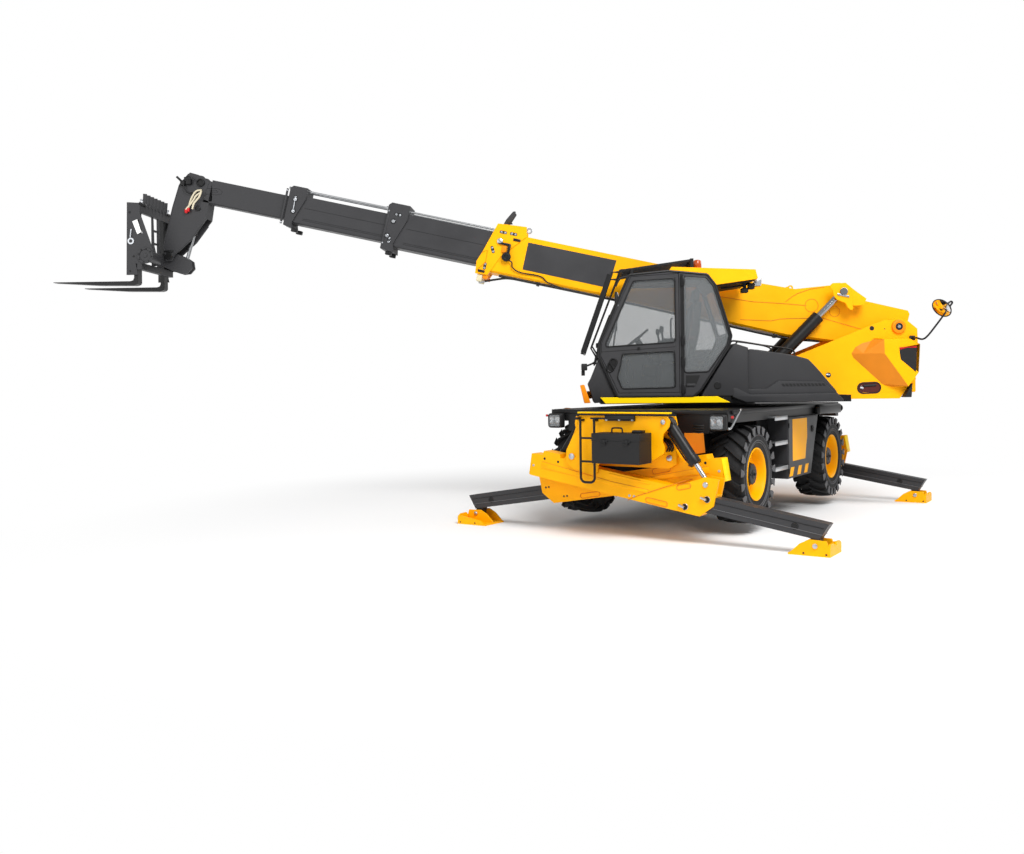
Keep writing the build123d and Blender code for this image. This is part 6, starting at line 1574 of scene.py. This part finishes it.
        # The mouth brackets and the line along the mouth's edge are drawn in the mid painted shade.
        stay.box((5.315, face, -0.07), (5.375, 0.24, 0.02), 0.006)
        stay.box((5.49, 0.105, -0.47), (5.56, 0.195, -0.424), 0.006)
        stay.box((5.49, -0.195, -0.47), (5.56, -0.105, -0.424), 0.006)
        for side in (1, -1):
            y = side * face
            stay.tube([(5.662, y, -0.38), (5.56, y, -0.25), (5.567, y, -0.079), (5.64, y, -0.13)], 0.005, 6)
        stay.show("mouth_brackets", MID_SHADE)
        ends.lathe((5.424, face, 0.072), Axis.Y, [(0, 0.04), (0.02, 0.04), (0.026, 0.028), (0.026, 0)], 24)
        ends.lathe((5.066, 0.12, 0.3), Axis.Y, [(0, 0.04), (0.024, 0.04), (0.024, 0.022), (0, 0.022), (0, 0.04)], 24,
            False)
        ends.tube([(5.6, 0.155, -0.535), (5.52, 0.155, -0.5)], 0.014, 10)
        ends.show("mouth_fittings", ZINC, "zinc_steel")
        for body, start, width, slots in (
            ("boom_second", 6.74, 0.187, ((6.88, 0.15, 0), (6.935, -0.215, 90))),
            ("boom_third", 8.2, 0.155, ((8.345, 0.08, 90),)),
        ):
            self._slots(body, width, slots)
            lips, studs, feet, press = blanks(BOOM, 4)
            half, back = width - 0.022, start - 2.6
            sole = -0.318 if body == "boom_third" else -0.368
            spots = ((8.34, 0.075), (8.337, -0.09)) if body == "boom_third" else ((6.928, 0.049), (6.973, -0.161))
            for side in (1, -1):
                out = side * width
                for a, b in spots:
                    feet.disc((a, out, b), Axis.Y, 0.036, side * 0.004, 20)
                    studs.bolt((a, out + side * 0.004, b), Axis.Y, side, 0.016)
                if body == "boom_third":
                    studs.tube([(8.34, out + side * 0.01, 0.04), (8.337, out + side * 0.01, -0.06)], 0.009, 8)
            for n in (-0.02, sole + 0.13, sole + 0.15):
                self._sides(press, [(back, n), (start, n), (start, n + 0.005), (back, n + 0.005)], half, 0.001)
            for side in (1, -1):
                lo, hi = side * (width - 0.012), side * (width + 0.006)
                lips.box((start + 0.262, lo, -0.29), (start + 0.29, hi, 0.205), 0.004)
                for n in (-0.27, 0.18):
                    studs.bolt((start + 0.276, side * (width + 0.006), n), Axis.Y, side, 0.008)
            shoe = start + 0.035 if body == "boom_third" else start + 0.13
            for y in (width - 0.07, -width + 0.01):
                feet.box((shoe, y, sole - 0.05), (shoe + 0.085, y + 0.06, sole + 0.004), 0.006)
            feet.show(body + "_collar_shoes", BLACK, body=body)
            press.show(body + "_press_lines", BLACK, body=body)
            lips.show(body + "_collar_lips", GREY, "dark_grey_paint", body)
            studs.show(body + "_collar_studs", ZINC, "zinc_steel", body)

    def _slots(self, body: str, face: float, slots: Sequence[Point]) -> None:
        """Fill the slots of a collar with a dark pad and its two bright screws.

        Args:
            body: the section that carries the collar.
            face: how far the collar's face stands from the boom's middle.
            slots: place along, place above and turn in degrees of each slot.
        """
        pads, screws = blanks(BOOM, 2)
        for along, above, turn in slots:
            for side in (1, -1):
                pads.prism(stadium((along, above), 0.104, 0.041, turn), side * (face - 0.0085), side * (face - 0.006))
                for k in (-1, 1):
                    a = radians(turn)
                    screws.bolt((along + 0.026 * k * cos(a), side * (face - 0.006), above + 0.026 * k * sin(a)), Axis.Y,
                        side, 0.011)
        pads.show(body + "_slot_pads", PLASTIC, body=body)
        screws.show(body + "_slot_screws", ZINC, "zinc_steel", body)

    def _pipes(self) -> None:
        """Make the bright oil pipes over the sections."""
        for body, spread in (("boom_second", 0.12), ("boom_third", 0.075)):
            pipes = Shape(BOOM)
            end = 7.035 if body == "boom_second" else 8.44
            for y in (spread, -spread):
                pipes.tube([(end - 1.5, y, self.pipe_height), (end + 0.03, y, self.pipe_height)], 0.0135, 14)
                pipes.lathe((end + 0.01, y, self.pipe_height), Axis.X, [(0, 0.013), (0, 0.021), (0.028, 0.021),
                    (0.028, 0.0)], 6)
            pipes.show(body + "_pipes", SILVER, "zinc_steel", body)

    def _underside(self) -> None:
        """Make the hose bundle held under the outer section."""
        hoses, clips = blanks(BOOM, 2)
        hoses.hose([(5.54, 0.155, -0.508), (5.4, 0.155, -0.455), (5.25, 0.155, -0.405), (5.1, 0.152, -0.388)], 0.014, 8)
        for k in range(3):
            y = 0.15 - 0.034 * k
            hoses.hose([(0.9, y, -0.372), (1.4, y, -0.424), (2.4, y, -0.412), (3.8, y, -0.388), (5.0, y, -0.386),
                (5.35, y, -0.386)], 0.013, 8)
        for s, n in ((1.5, -0.402), (2.6, -0.388), (3.7, -0.372), (4.8, -0.368)):
            clips.box((s - 0.02, 0.06, n - 0.048), (s + 0.02, 0.18, n + 0.002), 0.005)
        hoses.show("underside_hoses", HOSE)
        clips.show("underside_clips", BLACK)


@dataclass
class Head:
    """Fittings of the boom's head, the carriage and its forks."""

    centre: float = BOOM_SIDE
    arm_half: float = 0.108
    beam_half: float = 0.104
    rack_half: float = 0.5

    def build(self) -> None:
        """Make every piece of the head and carriage."""
        self._arm()
        self._rack()
        self._forks()

    def _arm(self) -> None:
        """Make the head's plates, pins, hoses, red caps and pipes."""
        c = self.centre
        edge, pins, pale, red, black = blanks(TURRET, 5)
        line = [(7.19, 4.755), (7.315, 4.617), (7.325, 4.6), (7.42, 4.3), (7.56, 3.75), (7.518, 3.55), (7.442, 3.55),
            (7.408, 3.62), (7.176, 3.82), (7.0, 4.048)]
        for side in (1, -1):
            y = c + side * (self.arm_half + 0.0005)
            edge.tube([(a, y, b) for a, b in line], 0.007, 6)
        edge.show("head_edges", GREY, "dark_grey_paint", "boom_inner")
        for side in (1, -1):
            y = c + side * self.arm_half
            for (x, z), r in (((7.48, 3.61), 0.052), ((7.062, 4.269), 0.036)):
                pins.pin_head((x, y, z), Axis.Y, r, (side * 0.012, side * 0.016), 0.005, 24)
            pins.box((7.42, y, 3.665), (7.55, y + side * 0.012, 3.69), 0.003)
        pins.show("head_pins", BLACK, "dark_grey_paint", "boom_inner")
        y = c + 0.128
        for line in (
            [(7.0, 4.52), (7.08, 4.505), (7.15, 4.4), (7.19, 4.27)],
            [(7.01, 4.48), (7.07, 4.44), (7.13, 4.35), (7.219, 4.25)],
            [(6.99, 4.5), (7.02, 4.42), (7.095, 4.33), (7.12, 4.25)],
        ):
            pale.hose([(a, y, b) for a, b in line], 0.013, 10)
            y += 0.02
        for a, b in ((7.19, 4.262), (7.219, 4.244)):
            red.lathe((a, c + 0.138, b), Axis.Z, [(-0.04, 0.0), (-0.04, 0.02), (0.01, 0.022), (0.012, 0.012)], 16,
                False)
        black.lathe((7.018, c + 0.108, 4.627), Axis.Y, [(0, 0.056), (0.022, 0.054), (0.026, 0.042), (0.012, 0.036),
            (0.012, 0)], 28)
        black.box((7.14, c + 0.108, 4.6), (7.215, c + 0.165, 4.68), 0.01)
        black.box((7.235, c + 0.1, 4.59), (7.3, c + 0.15, 4.665), 0.01)
        black.tube([(7.345, c + 0.14, 4.712), (7.29, c + 0.14, 4.66), (7.24, c + 0.14, 4.61)], 0.016, 8)
        black.hose([(7.255, c + 0.14, 4.6), (7.23, c + 0.145, 4.53), (7.18, c + 0.14, 4.48), (7.12, c + 0.135, 4.49)],
            0.008, 8)
        black.hose([(7.1, c + 0.15, 4.65), (7.15, c + 0.17, 4.7), (7.23, c + 0.165, 4.69)], 0.01, 8)
        pale.show("pale_hoses", PALE, body="boom_inner")
        red.show("coupling_caps", RED, body="boom_inner")
        black.show("head_hoses", HOSE, body="boom_inner")
        seam, cheek = blanks(TURRET, 2)
        for side in (1, -1):
            inside, skin = c + side * 0.08, c + side * self.beam_half
            cheek.prism(rounded([(7.05, 4.738), (6.985, 4.722), (6.94, 4.672), (6.86, 4.645), (6.86, 4.35),
                (7.06, 4.42)], 0.03, 4), inside, skin, 0.001, 1)
            line = [(6.936, 4.545), (6.818, 4.547), (6.755, 4.535), (6.715, 4.495), (6.735, 4.46), (6.8, 4.455),
                (6.93, 4.468), (6.985, 4.44)]
            seam.tube([(a, skin, b) for a, b in line], 0.0022, 6)
            seam.tube([(6.9, skin, 4.52), (6.8, skin, 4.52), (6.775, skin, 4.495), (6.88, skin, 4.49)], 0.002, 6)
        cheek.show("head_cheeks", GREY, "dark_grey_paint", "boom_inner")
        seam.show("head_weld_seam", BLACK, "dark_grey_paint", "boom_inner")

    def _rack(self) -> None:
        """Make the cross tube's flanges, rack studs, holes and lock ring."""
        c = self.centre
        flange, bolts, rack, ring, holes = blanks(TURRET, 5)
        hub = (7.638, 3.569)
        for side in (1, -1):
            y = c + side * self.rack_half
            flange.lathe((hub[0], y, hub[1]), Axis.Y, [(0, 0.112), (side * 0.014, 0.11), (side * 0.014, 0.082),
                (side * 0.003, 0.08), (side * 0.003, 0.028), (side * 0.012, 0.026), (side * 0.012, 0.0)], 40)
            for place in ring_of((hub[0], y + side * 0.014, hub[1]), 0.091, 8, 0.2):
                bolts.bolt(place, Axis.Y, side, 0.007)
            ring.lathe((7.835, y, 3.768), Axis.Y, [(0, 0.045), (side * 0.01, 0.045), (side * 0.01, 0.024), (0, 0.024)],
                24, False)
            ring.tube([(7.828, y + side * 0.01, 3.93), (7.839, y + side * 0.012, 3.812)], 0.011, 10)
            for x, z, r in ((7.8, 3.56, 0.016), (7.85, 4.16, 0.016), (7.85, 3.36, 0.014), (7.7, 3.93, 0.01)):
                holes.prism(circle((x, z), r, 16), y, y + side * 0.002)
        flange.show("cross_tube_flanges", GREY, "dark_grey_paint", "carriage")
        bolts.show("flange_bolts", BLACK, "dark_grey_paint", "carriage")
        ring.show("lock_rings", ZINC, "zinc_steel", "carriage")
        holes.show("rack_holes", PLASTIC, body="carriage")
        sign = Shape(TURRET)
        sign.prism([(7.815, 4.036), (7.746, 4.064), (7.69, 3.888), (7.748, 3.86)], c + self.rack_half,
            c + self.rack_half + 0.003, 0.001, 1)
        sign.show("blank_plate", SIGN, body="carriage")
        for k in range(9):
            y = c + 0.44 - k * 0.11
            rack.box((7.702, y - 0.009, 4.262), (7.764, y + 0.009, 4.3), 0.003)
            rack.lathe((7.733, y, 4.3), Axis.Z, [(0, 0.01), (0.012, 0.01), (0.014, 0.0)], 12)
        for z in (3.62, 3.8, 3.98):
            rack.box((7.722, c - 0.06, z - 0.014), (7.752, c + 0.06, z + 0.014), 0.004)
        for y in (0.075, -0.095):
            rack.prism([(7.64, 3.48), (7.74, 3.47), (7.74, 4.2), (7.712, 4.2), (7.7, 3.76)], c + y, c + y + 0.02, 0.003,
                1)
        rack.show("rack_fittings", GREY, "dark_grey_paint", "carriage")

    def _forks(self) -> None:
        """Make the tapered blades with their hooks and latch knobs in place of plain bars."""
        c = self.centre
        blades, knobs = blanks(TURRET, 2)
        back, bar, top = 7.755, 4.262, 3.226
        side_line = [
            (back + 0.0005, bar + 0.0005), (back - 0.065, bar + 0.0005), (back - 0.065, bar + 0.025),
            (back + 0.03, bar + 0.025), (back + 0.057, bar + 0.002), (back + 0.057, top + 0.045),
            (back + 0.072, top + 0.012), (back + 0.11, top), (back + 1.183, top),
            (back + 1.183, top - 0.008), (back + 0.545, top - 0.05), (back + 0.06, top - 0.058),
            (back + 0.015, top - 0.045), (back + 0.0005, top - 0.02),
        ]
        for place in (0.412, -0.412):
            y = c + place
            blades.prism(side_line, y - 0.0625, y + 0.0625, 0.003, 1)
            knobs.tube([(7.722, y, bar + 0.02), (7.722, y, bar + 0.075)], 0.011, 10)
            knobs.lathe((7.722, y, bar + 0.07), Axis.Z, [(0, 0.02), (0.012, 0.022), (0.02, 0.018), (0.02, 0)], 16)
            knobs.box((7.7, y - 0.028, bar + 0.02), (7.748, y + 0.028, bar + 0.034), 0.003)
        piece = blades.show("fork_blades", BLACK, "black_paint", "carriage")
        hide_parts("forks")
        knobs.show("fork_latches", ZINC, "zinc_steel", "carriage")


# ------------------------------------------------------------------ finishes of the frame's own pieces
CAD_FINISHES: dict[Finish, str] = {
    YELLOW: "rim stabiliser_frames stabiliser_beam stabiliser_foot cab_roof boom_outer",
    BLACK: "chassis_frame axles knuckle stabiliser_ram_tube ladder roof_guard lift_tubes forks tilt_ram_tube",
    GREY: "side_boxes stabiliser_slider cab_frame cab_door boom_second boom_third boom_inner carriage",
    PLASTIC: "toolbox lamps mirror",
    CHROME: "stabiliser_ram_rod lift_rods tilt_ram_rod",
    WINDOW: "cab_glass door_glass",
    RUBBER: "tyre",
    COVER: "side_covers",
    FABRIC: "seat",
    AMBER: "beacon",
}


def two_tone(low: Finish, high: Finish, level: float) -> bpy.types.Material:
    """Make a paint that changes colour at a height, for a part sprayed in two colours.

    Args:
        low: finish below the height.
        high: finish above it, which also gives the gloss.
        level: the height.
    Returns:
        The new material.
    """
    base = PALETTE.get(high)
    material = base.copy()
    material.name = high.name + "_over_" + low.name
    tree = material.node_tree
    shader = tree.nodes["Principled BSDF"]
    place = add_node(tree, "ShaderNodeTexCoord", {}, {})
    split = add_node(tree, "ShaderNodeSeparateXYZ", {}, {"Vector": place.outputs["Object"]})
    above = add_node(tree, "ShaderNodeMath", {"operation": "GREATER_THAN"}, {})
    tree.links.new(split.outputs["Z"], above.inputs[0])
    above.inputs[1].default_value = level
    mix = add_node(tree, "ShaderNodeMix", {"data_type": "RGBA"}, {"Factor": above.outputs[0]})
    mix.inputs["A"].default_value = linear(low.colour)
    source = shader.inputs["Base Color"].links
    if source:
        tree.links.new(source[0].from_socket, mix.inputs["B"])
    else:
        mix.inputs["B"].default_value = linear(high.colour)
    colour = next(s for s in mix.outputs if s.type == "RGBA")
    tree.links.new(colour, shader.inputs["Base Color"])
    return material


def dress_frame(nodes: dict[str, bpy.types.Object]) -> None:
    """Give each piece of the frame that stays in view its own finish.

    Args:
        nodes: the frame's pieces by name.
    """
    finishes = {stem: finish for finish, stems in CAD_FINISHES.items() for stem in stems.split()}
    for name, piece in nodes.items():
        stem = name
        for corner in CORNERS:
            stem = stem.replace("_" + corner, "")
        piece.data.materials.clear()
        if name == "turret_frame":
            piece.data.materials.append(two_tone(BLACK, YELLOW, PAINT_BREAK))
        else:
            piece.data.materials.append(PALETTE.get(finishes[stem]))


# ------------------------------------------------------------------ studio
@dataclass
class Studio:
    """Floor, lights, background and the camera's place."""

    lens_mm: float = 33.32
    place: Point = (12.138, 5.108, 1.756)
    heading: float = 213.1
    pitch: float = 0.009
    roll: float = 0.63
    shift: Flat = (-0.0238, -0.0417)
    aim: Point = (0.5, -1.0, 1.2)
    half_floor: float = 60.0

    def build(self) -> None:
        """Set the camera, the lights, the floor and the white background."""
        self._camera()
        self._lights()
        self._floor()
        self._world()
        scene = bpy.context.scene
        scene.view_settings.view_transform = "Standard"

    def _camera(self) -> None:
        """Stand the camera at its solved place and angle."""
        data = bpy.data.cameras.new("camera")
        data.sensor_width = 36.0
        data.lens = self.lens_mm
        data.shift_x, data.shift_y = self.shift
        data.clip_end = 200.0
        camera = bpy.data.objects.new("camera", data)
        bpy.context.scene.collection.objects.link(camera)
        h, p, r = radians(self.heading), radians(self.pitch), radians(self.roll)
        ahead = Vector((cos(h) * cos(p), sin(h) * cos(p), sin(p)))
        right = Vector((sin(h), -cos(h), 0))
        above = right.cross(ahead)
        x = right * cos(r) - above * sin(r)
        y = right * sin(r) + above * cos(r)
        matrix = Matrix((x, y, -ahead)).transposed().to_4x4()
        matrix.translation = Vector(self.place)
        camera.matrix_world = matrix
        bpy.context.scene.camera = camera

    def _lights(self) -> None:
        """Hang a broad key, a fill and a rim light."""
        for name, place, size, power in (
            ("key", (8.0, 8.0, 12.0), 7.0, 2300.0),
            ("fill", (16.0, -5.0, 6.0), 9.0, 420.0),
            ("rim", (-9.0, 6.0, 10.0), 8.0, 500.0),
        ):
            data = bpy.data.lights.new(name, "AREA")
            data.shape = "SQUARE"
            data.size = size
            data.energy = power
            lamp = bpy.data.objects.new(name, data)
            bpy.context.scene.collection.objects.link(lamp)
            aim = Vector(self.aim) - Vector(place)
            lamp.matrix_world = Matrix.Translation(Vector(place)) @ aim.to_track_quat("-Z", "Y").to_matrix().to_4x4()

    def _floor(self) -> None:
        """Lay a wide pale floor that keeps the shadow and fades into the white behind it."""
        mesh = bpy.data.meshes.new("studio_floor")
        half = self.half_floor
        mesh.from_pydata([(-half, -half, 0), (half, -half, 0), (half, half, 0), (-half, half, 0)], [], [(0, 1, 2, 3)])
        floor = bpy.data.objects.new("studio_floor", mesh)
        bpy.context.scene.collection.objects.link(floor)
        material = bpy.data.materials.new("pale_floor")
        material.use_nodes = True
        shader = material.node_tree.nodes["Principled BSDF"]
        shader.inputs["Base Color"].default_value = linear("#F6F6F6")
        shader.inputs["Roughness"].default_value = 0.9
        shader.inputs["Specular IOR Level"].default_value = 0.1
        tree = material.node_tree
        place = add_node(tree, "ShaderNodeTexCoord", {}, {})
        away = add_node(tree, "ShaderNodeVectorMath", {"operation": "LENGTH"}, {})
        tree.links.new(place.outputs["Object"], away.inputs[0])
        fade = add_node(
            tree, "ShaderNodeMapRange",
            {"interpolation_type": "SMOOTHSTEP", "From Min": 3.5, "From Max": 9.0},
            {"Value": away.outputs["Value"]},
        )
        paper = add_node(tree, "ShaderNodeEmission", {"Color": (1, 1, 1, 1), "Strength": 1.0}, {})
        mix = add_node(
            tree, "ShaderNodeMixShader", {},
            {"Fac": fade.outputs["Result"], 1: shader.outputs["BSDF"], 2: paper.outputs["Emission"]},
        )
        tree.links.new(mix.outputs[0], tree.nodes["Material Output"].inputs["Surface"])
        mesh.materials.append(material)

    def _world(self) -> None:
        """Fill the background with white for the camera and soft grey light for the part."""
        world = bpy.data.worlds.new("studio_world")
        bpy.context.scene.world = world
        world.use_nodes = True
        tree = world.node_tree
        soft = tree.nodes["Background"]
        soft.inputs["Color"].default_value = (1, 1, 1, 1)
        soft.inputs["Strength"].default_value = 0.48
        paper = add_node(tree, "ShaderNodeBackground", {"Color": (1, 1, 1, 1), "Strength": 1.0}, {})
        rays = add_node(tree, "ShaderNodeLightPath", {}, {})
        seen = add_node(
            tree, "ShaderNodeMath", {"operation": "MAXIMUM"},
            {0: rays.outputs["Is Camera Ray"], 1: rays.outputs["Is Transmission Ray"]},
        )
        mix = add_node(
            tree, "ShaderNodeMixShader", {},
            {"Fac": seen.outputs[0], 1: soft.outputs[0], 2: paper.outputs[0]},
        )
        tree.links.new(mix.outputs[0], tree.nodes["World Output"].inputs["Surface"])


def main() -> None:
    """Build the dressed machine in order."""
    logging.basicConfig(level=logging.INFO, format="%(name)s: %(message)s")
    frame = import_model()
    dress_frame(frame["nodes"])
    for corner in CORNERS:
        Wheel(corner).build()
        Stabiliser(corner).build()
    for part in (Chassis(), Turret(), Cab(), Boom(), Head(), Studio()):
        part.build()
        LOG.info("built %s", type(part).__name__)


if __name__ == "__main__":
    main()
